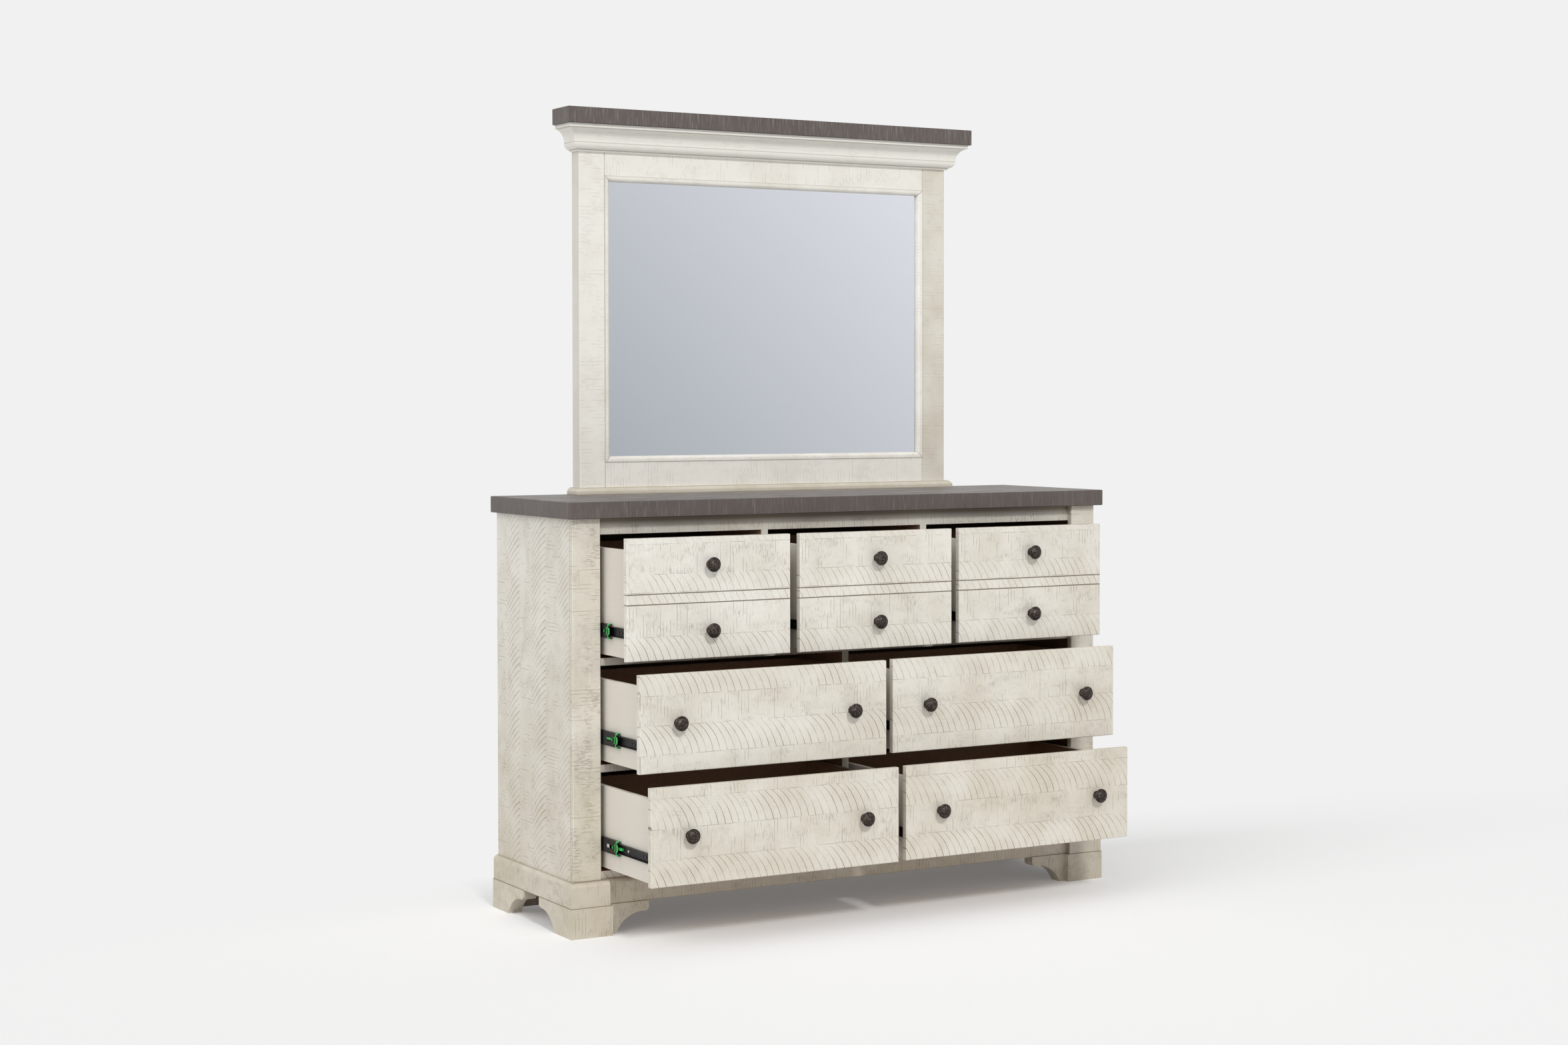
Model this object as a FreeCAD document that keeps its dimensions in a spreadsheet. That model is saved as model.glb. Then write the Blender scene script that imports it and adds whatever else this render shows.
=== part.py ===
import FreeCAD, Part
import Sketcher
import math
import os
import re

# Dresser with seven drawers and a framed mirror that stands on its top.
# Millimetres. +Z is up and -Y is the front. The origin is on the floor, in the
# middle of the space that the dresser takes up with its drawers pulled out as
# they stand here.

SIZES = (
    # Case
    ("case_width", 1541, "across the outside of the side panels"),
    ("case_depth", 447, "front face of the stiles to the back of the side panels"),
    ("panel_thickness", 18, "side panels"),
    ("stile_width", 74, "front stiles"),
    ("stile_thickness", 16, "front stiles, which stand proud of the rails"),
    ("rail_thickness", 18, "rails between the drawer rows"),
    ("rail_depth", 70, "front rails, front to back"),
    ("rear_rail_depth", 50, "rear rails, front to back"),
    ("top_rail_height", 39.5, "rail under the top"),
    ("top_rail_thickness", 18, "rail under the top"),
    ("partition_thickness", 19, "upright panels between the drawers"),
    ("floor_thickness", 18, "bottom board of the case"),
    ("back_thickness", 6, "back panel"),
    ("slab_thickness", 41, "top"),
    ("slab_overhang", 17.5, "top, past the case at the front and the sides"),
    ("board_ease", 1.5, "small chamfer along the edges of the boards that show"),
    # Plinth and feet
    ("foot_height", 73, "bracket feet"),
    ("plinth_height", 60, "band between the feet and the case"),
    ("plinth_proud", 13, "band, past the side panels"),
    ("plinth_thickness", 36, "boards of the band"),
    ("plinth_round", 12, "rounded top edge of the band"),
    ("block_width", 103, "corner blocks of the band"),
    ("block_proud", 17, "corner blocks, past the front rail of the band"),
    ("foot_proud", 2, "feet, past the band"),
    ("foot_block_spare", 5.5, "foot block, past the inner edge of the corner block"),
    ("wing_thickness", 36, "wings of the feet"),
    ("wing_reach", 88, "wing, from the foot's sole to its tip"),
    ("front_sole", 128, "front of a foot, along the floor"),
    ("side_sole", 98, "side of a foot, along the floor"),
    ("tip_height", 15, "straight end of a wing"),
    ("tip_round", 10, "rounding under a wing's end"),
    ("toe_height", 3, "straight bit of the cut-out above the floor"),
    # Drawers
    ("front_gap", 3.5, "round each drawer front"),
    ("tall_front_height", 291.5, "drawer fronts of the top row"),
    ("short_front_height", 232.5, "drawer fronts of the two lower rows"),
    ("front_thickness", 16, "drawer fronts"),
    ("groove_spacing", 25, "between the two grooves across a tall front"),
    ("groove_width", 3, "groove at the face"),
    ("groove_depth", 2.5, "groove"),
    ("box_side", 12, "sides, inner front and back of a drawer box"),
    ("box_rise", 6, "drawer box, above the lower edge of its front"),
    ("box_drop", 28, "drawer box, below the upper edge of its front"),
    ("box_floor", 5, "bottom of a drawer box"),
    ("box_floor_rise", 10, "bottom, above the lower edge of the box"),
    ("top_left_pull", 151, "how far each drawer stands open"),
    ("top_centre_pull", 153, "how far each drawer stands open"),
    ("top_right_pull", 148, "how far each drawer stands open"),
    ("middle_left_pull", 217, "how far each drawer stands open"),
    ("middle_right_pull", 206, "how far each drawer stands open"),
    ("bottom_left_pull", 274, "how far each drawer stands open"),
    ("bottom_right_pull", 267, "how far each drawer stands open"),
    # Drawer slides, three telescoping members on ball cages
    ("slide_length", 400, "each member"),
    ("slide_thickness", 12.7, "case to drawer box"),
    ("slide_height", 45, "case member"),
    ("slide_setback", 2, "slide, behind the back of a closed drawer front"),
    ("slide_rise", 66, "middle of a slide, above the lower edge of the front"),
    ("sheet_metal", 1.2, "steel of the members"),
    ("case_member_depth", 9.6, "case member, from the case"),
    ("link_member_height", 34, "middle member"),
    ("link_member_start", 3.2, "middle member, from the case"),
    ("link_member_depth", 7.4, "middle member"),
    ("drawer_member_height", 23.4, "drawer member"),
    ("drawer_member_depth", 7.1, "drawer member"),
    ("cage_clearance", 0.3, "ball cage, to the steel on each side"),
    ("cage_length", 150, "ball cages"),
    ("cage_width", 4.5, "ball cages"),
    ("cage_start", 20, "front ball cages, from the front end"),
    ("window_start", 36, "window in the middle member, from its front end"),
    ("window_length", 28, "window in the middle member"),
    ("window_height", 9, "window in the middle member"),
    ("claw_thickness", 1.5, "plastic claw at the middle member's front end"),
    ("claw_bar", 8, "claw, front to back"),
    ("claw_hook", 4.5, "claw's hooks, up and down"),
    ("claw_nose", 5, "bulge in the middle of the claw"),
    ("claw_reach", 1, "claw, past the middle member's front end"),
    ("claw_slot", 3, "notch between the claw's hooks"),
    ("lever_start", 140, "release lever, from the drawer member's front end"),
    ("lever_length", 23, "release lever"),
    ("lever_height", 5, "release lever"),
    ("lever_depth", 5.8, "release lever"),
    ("top_link_share", 0.5, "middle member's travel for the drawer's, top row"),
    ("middle_link_share", 0.54, "middle member's travel for the drawer's, middle row"),
    ("bottom_link_share", 0.43, "middle member's travel for the drawer's, bottom row"),
    ("spacer_height", 60, "battens that carry the outer slides"),
    # Knobs
    ("knob_sides", 24, "flats round a beaten knob"),
    ("knob_radius", 18, "head"),
    ("knob_length", 30, "drawer front to the top of the dome"),
    ("knob_rim_end", 20.5, "front of the head's rim, from the drawer front"),
    ("knob_rim_start", 18, "back of the head's rim, from the drawer front"),
    ("knob_slope_radius", 13, "ring between the two slopes of the dome"),
    ("knob_slope_end", 26.5, "that ring, from the drawer front"),
    ("knob_dome_edge", 0.3, "step at that ring"),
    ("knob_top_radius", 6, "flat top of the dome"),
    ("knob_flare_radius", 9, "back of the head, where it meets the neck"),
    ("knob_neck_radius", 7.8, "neck"),
    ("knob_neck_length", 10, "end of the neck, from the drawer front"),
    ("knob_base_radius", 10.5, "base"),
    ("knob_base_thickness", 5, "base"),
    ("knob_inset", 100, "knobs of a wide drawer, from the sides of its front"),
    # Mirror
    ("mirror_width", 1116, "frame"),
    ("mirror_height", 944, "frame"),
    ("frame_thickness", 42, "frame"),
    ("mirror_stile", 72, "frame's uprights"),
    ("mirror_top_rail", 125, "frame's top rail, behind the crown"),
    ("mirror_low_rail", 82.5, "frame's bottom rail"),
    ("bead_width", 15, "moulding round the glass"),
    ("bead_thickness", 14, "moulding round the glass"),
    ("bead_proud", 2, "moulding round the glass, past the frame"),
    ("bead_flat", 5, "flat face of that moulding"),
    ("bead_edge", 5, "edge of that moulding beside the glass"),
    ("glass_thickness", 4, "mirror glass"),
    ("glass_gap", 1, "round the glass"),
    ("backboard_thickness", 6, "board behind the glass"),
    ("crown_projection", 47, "crown moulding"),
    ("crown_height", 66, "crown moulding"),
    ("crown_fillet", 9.5, "square band at the top of the crown"),
    ("crown_step", 3, "under that band"),
    ("cove_projection", 22, "lower end of the cove"),
    ("cove_height", 35, "cove"),
    ("ovolo_projection", 7, "lower end of the round below the cove"),
    ("ovolo_height", 17.5, "round below the cove"),
    ("cap_thickness", 41, "cap on the crown"),
    ("cap_reveal", 8, "cap, past the crown"),
    ("base_projection", 17, "moulding at the foot of the mirror"),
    ("base_height", 18, "moulding at the foot of the mirror"),
    ("base_flat", 8, "its square lower edge"),
    ("base_lip", 4, "its thin upper edge"),
    ("support_width", 60, "battens that hold the mirror to the case"),
    ("support_thickness", 18, "battens that hold the mirror to the case"),
    ("support_length", 1200, "battens that hold the mirror to the case"),
    ("support_drop", 340, "battens, below the top"),
    ("support_spacing", 660, "between the middles of the two battens"),
    # Shapes of the arcs, as the rise of an arc for its chord, and the overrun of cuts
    ("quarter_share", 0.2071, "quarter of a circle"),
    ("wing_share", 0.155, "cut-out of a wing"),
    ("cove_share", 0.16, "cove of the crown"),
    ("cut_overrun", 2, "cuts, past the piece that they cut"),
)

# Places that several pieces share, each worked out from the sizes.
PLACES = {
    "stile_front": "(bottom_left_pull + knob_length - stile_thickness - case_depth"
                   " - support_thickness) / 2",
    "rail_front": "stile_front + stile_thickness",
    "case_rear": "stile_front + case_depth",
    "back_front": "case_rear - back_thickness",
    "case_left": "-case_width / 2",
    "panel_inside": "case_width / 2 - panel_thickness",
    "hole_side": "case_width / 2 - stile_width",
    "hole_left": "-hole_side",
    "top_hole": "(2 * hole_side - 2 * partition_thickness) / 3",
    "wide_hole": "(2 * hole_side - partition_thickness) / 2",
    "top_centre_left": "hole_left + top_hole + partition_thickness",
    "top_right_left": "hole_side - top_hole",
    "wide_right_left": "hole_side - wide_hole",
    "case_low": "foot_height + plinth_height",
    "floor_top": "case_low + floor_thickness",
    "bottom_row": "floor_top + front_gap",
    "low_rail": "bottom_row + short_front_height + front_gap",
    "middle_row": "low_rail + rail_thickness + front_gap",
    "high_rail": "middle_row + short_front_height + front_gap",
    "top_row": "high_rail + rail_thickness + front_gap",
    "top_rail_low": "top_row + tall_front_height + front_gap",
    "slab_low": "top_rail_low + top_rail_height",
    "slab_top": "slab_low + slab_thickness",
    "front_rear": "rail_front + front_thickness",
    "slide_front": "front_rear + slide_setback",
    "box_length": "slide_length",
    "foot_outside": "case_width / 2 + plinth_proud + foot_proud",
    "foot_front": "stile_front - block_proud - foot_proud",
    "block_inside": "case_width / 2 + plinth_proud - block_width",
    "mirror_front": "case_rear - frame_thickness",
    "mirror_side": "mirror_width / 2",
    "mirror_top": "slab_top + mirror_height",
    "glass_hole_side": "mirror_side - mirror_stile",
    "glass_hole_low": "slab_top + mirror_low_rail",
    "glass_hole_top": "mirror_top - mirror_top_rail",
    "glass_front": "mirror_front - bead_proud + bead_thickness",
}

SIZE_NAMES = [name for name, value, meaning in SIZES]

doc = FreeCAD.newDocument("dresser")
sheet = doc.addObject("Spreadsheet::Sheet", "dims")
for row, (name, value, meaning) in enumerate(SIZES, 1):
    sheet.set(f"A{row}", name)
    sheet.set(f"B{row}", str(value))
    sheet.set(f"C{row}", meaning)
    sheet.setAlias(f"B{row}", name)
doc.recompute()

nodes = []


# Expressions and numbers

def at(text):
    """The text as an expression: places worked out, sizes read from the sheet."""
    def spell(match):
        word = match.group(0)
        if word in PLACES:
            return "(" + at(PLACES[word]) + ")"
        if word in SIZE_NAMES:
            return "dims." + word
        return word
    return re.sub(r"[a-z_]+", spell, text)


def number(text):
    return float(sheet.evalExpression(at(text)))


def bind(obj, **texts):
    for prop, text in texts.items():
        obj.setExpression(prop, at(text))


def put(obj, x="0", y="0", z="0"):
    for axis, text in zip("xyz", (x, y, z)):
        obj.setExpression(f".Placement.Base.{axis}", at(text))
    return obj


# Boards, copies and groups

def board(name, x, y, z, dx, dy, dz):
    """A plain board: its lowest corner and its size each way."""
    obj = doc.addObject("Part::Box", name)
    bind(obj, Length=dx, Width=dy, Height=dz)
    return put(obj, x, y, z)


def copy_of(source, name, x="0", y="0", z="0", turn=0):
    """Another copy of a piece, turned about the Y axis."""
    obj = doc.addObject("App::Link", name)
    obj.LinkedObject = source
    obj.Placement.Rotation = FreeCAD.Rotation(FreeCAD.Vector(0, 1, 0), turn)
    return put(obj, x, y, z)


def mirrored(source, name):
    """The same piece on the other side of the dresser."""
    obj = doc.addObject("Part::Mirroring", name)
    obj.Source = source
    obj.Normal = FreeCAD.Vector(1, 0, 0)
    return obj


def group(label, pieces):
    obj = doc.addObject("Part::Compound", label)
    obj.Links = pieces
    return node(obj, label)


def node(obj, label):
    obj.Label = label
    nodes.append(obj)
    return obj


# Bodies made from sketches

def new_body(name):
    return doc.addObject("PartDesign::Body", name)


def plane(body, role):
    for feature in body.Origin.OriginFeatures:
        if feature.Role == role:
            return feature


def arc_between(start, end, bulge):
    """The arc from start to end, against the clock when its bulge is positive."""
    chord = end.sub(start)
    radius = chord.Length * (1 + 4 * bulge * bulge) / (8 * abs(bulge))
    reach = math.sqrt(radius * radius - chord.Length * chord.Length / 4)
    left = FreeCAD.Vector(-chord.y, chord.x, 0).normalize()
    centre = start.add(chord.multiply(0.5)).add(left.multiply(math.copysign(reach, bulge)))
    first, last = (start, end) if bulge > 0 else (end, start)
    angles = [math.atan2(p.y - centre.y, p.x - centre.x) for p in (first, last)]
    return Part.ArcOfCircle(Part.Circle(centre, FreeCAD.Vector(0, 0, 1), radius), *angles)


def outline(sketch, corners):
    """Closed outline. A corner with a third entry starts an arc of that bulge."""
    first = sketch.GeometryCount
    count = len(corners)
    spots = [FreeCAD.Vector(number(c[0]), number(c[1]), 0) for c in corners]
    ends = []
    for i, corner in enumerate(corners):
        start, end = spots[i], spots[(i + 1) % count]
        if len(corner) == 2:
            sketch.addGeometry(Part.LineSegment(start, end))
            ends.append((1, 2))
        else:
            bulge = number(corner[2])
            sketch.addGeometry(arc_between(start, end, bulge))
            ends.append((1, 2) if bulge > 0 else (2, 1))
    for i in range(count):
        after = (i + 1) % count
        sketch.addConstraint(Sketcher.Constraint(
            "Coincident", first + i, ends[i][1], first + after, ends[after][0]))
    for i, corner in enumerate(corners):
        for kind, axis, text, value in (("DistanceX", -2, corner[0], spots[i].x),
                                        ("DistanceY", -1, corner[1], spots[i].y)):
            if text == "0":
                sketch.addConstraint(Sketcher.Constraint(
                    "PointOnObject", first + i, ends[i][0], axis))
            else:
                made = sketch.addConstraint(Sketcher.Constraint(
                    kind, -1, 1, first + i, ends[i][0], value))
                sketch.setExpression(f"Constraints[{made}]", at(text))
        if len(corner) == 3:
            x_run, y_run = (f"(({corners[(i + 1) % count][k]}) - ({corner[k]}))" for k in (0, 1))
            share = f"({corner[2]})"
            text = (f"sqrt({x_run}^2 + {y_run}^2) * (1 + 4 * {share}^2)"
                    f" / (8 * sqrt({share}^2))")
            made = sketch.addConstraint(Sketcher.Constraint("Radius", first + i, number(text)))
            sketch.setExpression(f"Constraints[{made}]", at(text))


def draw(body, name, role, outlines, lift="0"):
    """A sketch on one of the body's own planes, lifted along that plane's normal."""
    sketch = body.newObject("Sketcher::SketchObject", name)
    sketch.AttachmentSupport = [(plane(body, role), "")]
    sketch.MapMode = "FlatFace"
    sketch.setExpression(".AttachmentOffset.Base.z", at(lift))
    for corners in outlines:
        outline(sketch, corners)
    return sketch


def pad(body, name, sketch, length, backwards=False):
    feature = body.newObject("PartDesign::Pad", name)
    feature.Profile = sketch
    bind(feature, Length=length)
    feature.Reversed = backwards
    doc.recompute()
    return feature


def pocket(body, name, sketch, length, backwards=False):
    before = body.Shape.Volume
    feature = body.newObject("PartDesign::Pocket", name)
    feature.Profile = sketch
    bind(feature, Length=length)
    feature.Reversed = backwards
    doc.recompute()
    if not body.Shape.Volume < before:
        raise ValueError(f"{name} cuts nothing")
    return feature


def edges_where(shape, test):
    """Names of the edges whose ends all pass the test."""
    return [f"Edge{i}" for i, edge in enumerate(shape.Edges, 1)
            if all(test(vertex.Point) for vertex in edge.Vertexes)]


def ease(body, name, base, edges, size, kind="Chamfer"):
    feature = body.newObject(f"PartDesign::{kind}", name)
    feature.Base = (base, edges)
    bind(feature, **{"Size" if kind == "Chamfer" else "Radius": size})
    doc.recompute()
    return feature


def same(a, b):
    return abs(a - b) < Part.Precision.confusion() * 10


def rectangle(x, y, dx, dy):
    return [(x, y), (f"{x} + {dx}", y), (f"{x} + {dx}", f"{y} + {dy}"), (x, f"{y} + {dy}")]


def eased_board(name, x, y, z, dx, dy, dz, test=None):
    """A board whose edges that pass the test, or all of them, have a small chamfer."""
    body = new_body(name)
    base = pad(body, f"{name}_pad", draw(body, f"{name}_sketch", "XY_Plane",
                                         [rectangle("0", "0", dx, dy)]), dz)
    ease(body, f"{name}_ease", base, edges_where(base.Shape, test or (lambda p: True)),
         "board_ease")
    return put(body, x, y, z)


# Case

def make_case():
    overhang = "2 * slab_overhang"
    node(eased_board("slab", "case_left - slab_overhang", "stile_front - slab_overhang",
                     "slab_low", f"case_width + {overhang}", "case_depth + slab_overhang",
                     "slab_thickness"), "case_top")
    upright = "slab_low - case_low"
    for label, x in (("left_side_panel", "case_left"), ("right_side_panel", "panel_inside")):
        node(board(label, x, "rail_front", "case_low", "panel_thickness",
                   "case_depth - stile_thickness", upright), label)
    group("front_stiles", [
        eased_board(f"{side}_stile", x, "stile_front", "case_low", "stile_width",
                    "stile_thickness", upright, lambda p: same(p.y, 0))
        for side, x in (("left", "case_left"), ("right", "hole_side"))])
    inside = ("-panel_inside", "2 * panel_inside")
    node(board("top_rail", inside[0], "rail_front", "top_rail_low", inside[1],
               "top_rail_thickness", "top_rail_height"), "top_front_rail")
    rails = []
    for level in ("low_rail", "high_rail"):
        rails.append(board(f"front_{level}", inside[0], "rail_front", level, inside[1],
                           "rail_depth", "rail_thickness"))
        rails.append(board(f"rear_{level}", inside[0], "back_front - rear_rail_depth", level,
                           inside[1], "rear_rail_depth", "rail_thickness"))
    group("drawer_rails", rails)
    node(board("floor_board", inside[0], "rail_front", "case_low", inside[1],
               "back_front - rail_front", "floor_thickness"), "case_bottom")
    node(board("back_board", inside[0], "back_front", "case_low", inside[1],
               "back_thickness", upright), "back_panel")


def make_partitions():
    """The top pair is notched round the rail under the top."""
    pieces = []
    high = "high_rail + rail_thickness"
    depth = "back_front - rail_front"
    for side, x in (("left", "top_centre_left - partition_thickness"),
                    ("right", "top_right_left - partition_thickness")):
        body = new_body(f"{side}_top_partition")
        notched = [("0", "0"), (depth, "0"), (depth, f"slab_low - ({high})"),
                   ("top_rail_thickness", f"slab_low - ({high})"),
                   ("top_rail_thickness", f"top_rail_low - ({high})"),
                   ("0", f"top_rail_low - ({high})")]
        pad(body, f"{side}_top_partition_pad",
            draw(body, f"{side}_top_partition_sketch", "YZ_Plane", [notched]),
            "partition_thickness")
        pieces.append(put(body, x, "rail_front", high))
    for row, low, top in (("middle", "low_rail + rail_thickness", "high_rail"),
                          ("bottom", "floor_top", "low_rail")):
        pieces.append(board(f"{row}_partition", "-partition_thickness / 2", "rail_front", low,
                            "partition_thickness", depth, f"{top} - ({low})"))
    group("drawer_partitions", pieces)


# Plinth and bracket feet

def rounded_rail(name, x, y, z, dx, dy, test):
    """A board of the plinth with the top edges that pass the test rounded."""
    body = new_body(name)
    base = pad(body, f"{name}_pad", draw(body, f"{name}_sketch", "XY_Plane",
                                         [rectangle("0", "0", dx, dy)]), "plinth_height")
    top = number("plinth_height")
    edges = edges_where(base.Shape, lambda p: same(p.z, top) and test(p))
    ease(body, f"{name}_round", base, edges, "plinth_round", "Fillet")
    return put(body, x, y, z)


def make_plinth():
    side_x = "case_left - plinth_proud"
    block_depth = "block_proud + plinth_thickness"
    block = new_body("left_corner_block")
    base = pad(block, "corner_block_pad",
               draw(block, "corner_block_sketch", "XY_Plane",
                    [rectangle("0", "0", "block_width", block_depth)]), "plinth_height")
    top = number("plinth_height")
    front = edges_where(base.Shape, lambda p: same(p.z, top) and same(p.y, 0))
    outer = edges_where(base.Shape, lambda p: same(p.z, top) and same(p.x, 0))
    ease(block, "corner_block_round", base, front + outer, "plinth_round", "Fillet")
    put(block, side_x, "stile_front - block_proud", "foot_height")
    group("plinth_corner_blocks", [block, mirrored(block, "right_corner_block")])

    node(rounded_rail("front_band", "-block_inside", "stile_front", "foot_height",
                      "2 * block_inside", "plinth_thickness", lambda p: same(p.y, 0)),
         "plinth_front_rail")
    left = rounded_rail("left_band", side_x, "stile_front + plinth_thickness", "foot_height",
                        "plinth_thickness", "case_depth - plinth_thickness",
                        lambda p: same(p.x, 0))
    band_inside = "case_width / 2 + plinth_proud - plinth_thickness"
    rear = board("rear_band", f"-({band_inside})", "case_rear - plinth_thickness",
                 "foot_height", f"2 * ({band_inside})", "plinth_thickness", "plinth_height")
    group("plinth_rails", [left, mirrored(left, "right_band"), rear])


def wing(sole, way=""):
    """Outline of a wing: square top, rounded tip and the hollow down to the sole."""
    span = f"{sole} + wing_reach"
    low = "foot_height - tip_height"
    turn = "-" if way == "" else ""
    back = "" if way == "" else "-"
    return [("0", "0"), ("0", "foot_height"), (f"{way}({span})", "foot_height"),
            (f"{way}({span})", low, f"{turn}quarter_share"),
            (f"{way}({span} - tip_round)", f"{low} - tip_round", f"{back}wing_share"),
            (f"{way}({sole})", "toe_height"), (f"{way}({sole})", "0")]


def make_feet():
    """Each foot is two wings in one piece. A front foot also has a square block."""
    front = new_body("left_front_foot")
    wing_front = "block_proud"
    pad(front, "front_wing", draw(front, "front_wing_sketch", "XZ_Plane",
                                  [wing("front_sole")], f"-({wing_front})"),
        "wing_thickness", True)
    pad(front, "front_side_wing", draw(front, "front_side_wing_sketch", "YZ_Plane",
                                       [wing("side_sole")]), "wing_thickness")
    pad(front, "front_block",
        draw(front, "front_block_sketch", "XY_Plane",
             [rectangle("0", "0", "block_width + foot_proud + foot_block_spare",
                        "block_proud + wing_thickness")]), "foot_height")
    put(front, "-foot_outside", "foot_front")
    group("front_feet", [front, mirrored(front, "right_front_foot")])

    rear = new_body("left_rear_foot")
    pad(rear, "rear_wing", draw(rear, "rear_wing_sketch", "XZ_Plane",
                                [wing("front_sole")]), "wing_thickness")
    pad(rear, "rear_side_wing", draw(rear, "rear_side_wing_sketch", "YZ_Plane",
                                     [wing("side_sole", "-")]), "wing_thickness")
    put(rear, "-foot_outside", "case_rear")
    group("rear_feet", [rear, mirrored(rear, "right_rear_foot")])


# Mouldings of the mirror

def mitred_run(name, profile, projection, top, height, run):
    """A moulding along X, cut at 45 degrees at both ends. Its back is at y = 0."""
    body = new_body(name)
    pad(body, f"{name}_pad", draw(body, f"{name}_sketch", "YZ_Plane", [profile]), run)
    past = "cut_overrun"
    left = [(f"-{past}", past), (f"{projection} + {past}", past),
            (f"-{past}", f"-({projection} + {past})")]
    right = [(f"{run} + {past}", past), (f"{run} + {past}", f"-({projection} + {past})"),
             (f"{run} - ({projection} + {past})", past)]
    pocket(body, f"{name}_mitres",
           draw(body, f"{name}_mitre_sketch", "XY_Plane", [left, right], f"{top} + {past}"),
           f"{height} + 2 * {past}")
    return body


def mitred_return(name, profile, projection, top, height, run):
    """A moulding along Y on the left side, cut at 45 degrees at its front end."""
    body = new_body(name)
    pad(body, f"{name}_pad", draw(body, f"{name}_sketch", "XZ_Plane", [profile]), run, True)
    past = "cut_overrun"
    corner = [(past, f"{projection} + {past}"), (f"-({projection} + {past})", f"-{past}"),
              (past, f"-{past}")]
    pocket(body, f"{name}_mitre",
           draw(body, f"{name}_mitre_sketch", "XY_Plane", [corner], f"{top} + {past}"),
           f"{height} + 2 * {past}")
    return body


def make_moulding(label, profile, projection, top, height, z):
    """Front run and two returns round the mirror frame."""
    front_y = "mirror_front"
    front = put(mitred_run(f"{label}_front", profile, projection, top, height,
                           f"(mirror_width + 2 * {projection})"),
                f"-mirror_side - {projection}", front_y, z)
    left = put(mitred_return(f"{label}_left", profile, projection, top, height,
                             f"frame_thickness + {projection}"),
               "-mirror_side", f"{front_y} - {projection}", z)
    group(label, [front, left, mirrored(left, f"{label}_right")])


def make_crown():
    cove_top = "-crown_fillet"
    cove_low = "-(crown_fillet + cove_height)"
    profile = [("0", "0"), ("0", "-crown_height"), ("-ovolo_projection", "-crown_height"),
               ("-ovolo_projection", f"{cove_low} - ovolo_height", "-quarter_share"),
               ("-cove_projection", cove_low, "cove_share"),
               ("-(crown_projection - crown_step)", cove_top), ("-crown_projection", cove_top),
               ("-crown_projection", "0")]
    make_moulding("crown_moulding", profile, "crown_projection", "0", "crown_height",
                  "mirror_top")


def make_base_moulding():
    profile = [("0", "0"), ("0", "base_height"), ("-base_lip", "base_height", "cove_share"),
               ("-base_projection", "base_flat"), ("-base_projection", "0")]
    make_moulding("mirror_base_moulding", profile, "base_projection", "base_height",
                  "base_height", "slab_top")


def bead_piece(name, run):
    """One side of the moulding round the glass, with its outer edge at z = 0."""
    body = new_body(name)
    profile = [("0", "0"), ("-bead_thickness", "0"),
               ("-bead_thickness", "bead_flat", "-quarter_share"),
               ("-bead_edge", "bead_width"), ("0", "bead_width")]
    pad(body, f"{name}_pad", draw(body, f"{name}_sketch", "YZ_Plane", [profile]), run)
    past = "cut_overrun"
    far = f"(bead_width + {past})"
    left = [(f"-{past}", f"-{past}"), (far, far), (f"-{past}", far)]
    right = [(f"{run} + {past}", f"-{past}"), (f"{run} + {past}", far), (f"{run} - {far}", far)]
    pocket(body, f"{name}_mitres",
           draw(body, f"{name}_mitre_sketch", "XZ_Plane", [left, right],
                f"bead_thickness + {past}"), f"bead_thickness + 2 * {past}")
    return body


def make_mirror():
    stiles = [eased_board(f"mirror_{side}_stile", x, "mirror_front", "slab_top", "mirror_stile",
                          "frame_thickness", "mirror_height", lambda p: same(p.y, 0))
              for side, x in (("left", "-mirror_side"), ("right", "glass_hole_side"))]
    group("mirror_stiles", stiles)
    hole = "2 * glass_hole_side"
    group("mirror_rails", [
        board("mirror_low_board", "-glass_hole_side", "mirror_front", "slab_top", hole,
              "frame_thickness", "mirror_low_rail"),
        board("mirror_top_board", "-glass_hole_side", "mirror_front", "glass_hole_top", hole,
              "frame_thickness", "mirror_top_rail")])
    wide = bead_piece("wide_bead", f"({hole})")
    high = bead_piece("high_bead", "(glass_hole_top - glass_hole_low)")
    group("mirror_bead", [
        copy_of(wide, "low_bead", "-glass_hole_side", "glass_front", "glass_hole_low"),
        copy_of(wide, "top_bead", "glass_hole_side", "glass_front", "glass_hole_top", 180),
        copy_of(high, "left_bead", "-glass_hole_side", "glass_front", "glass_hole_top", 90),
        copy_of(high, "right_bead", "glass_hole_side", "glass_front", "glass_hole_low", -90)])
    inset = ("-glass_hole_side + glass_gap", "glass_hole_low + glass_gap",
             f"{hole} - 2 * glass_gap", "glass_hole_top - glass_hole_low - 2 * glass_gap")
    node(board("glass", inset[0], "glass_front", inset[1], inset[2], "glass_thickness",
               inset[3]), "mirror_glass")
    node(board("backing", "-glass_hole_side", "glass_front + glass_thickness",
               "glass_hole_low", hole, "backboard_thickness",
               "glass_hole_top - glass_hole_low"), "mirror_backboard")
    cap_side = "(mirror_side + crown_projection + cap_reveal)"
    node(eased_board("cap", f"-{cap_side}", "mirror_front - crown_projection - cap_reveal",
                     "mirror_top", f"2 * {cap_side}",
                     "frame_thickness + crown_projection + cap_reveal", "cap_thickness"),
         "mirror_cap")
    group("mirror_supports", [
        board(f"{side}_support", f"{way}support_spacing / 2 - support_width / 2", "case_rear",
              "slab_top - support_drop", "support_width", "support_thickness",
              "support_length")
        for side, way in (("left", "-"), ("right", ""))])


# Drawer slides: a left-hand slide, with the case at x = 0 and its front end at y = 0

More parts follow.
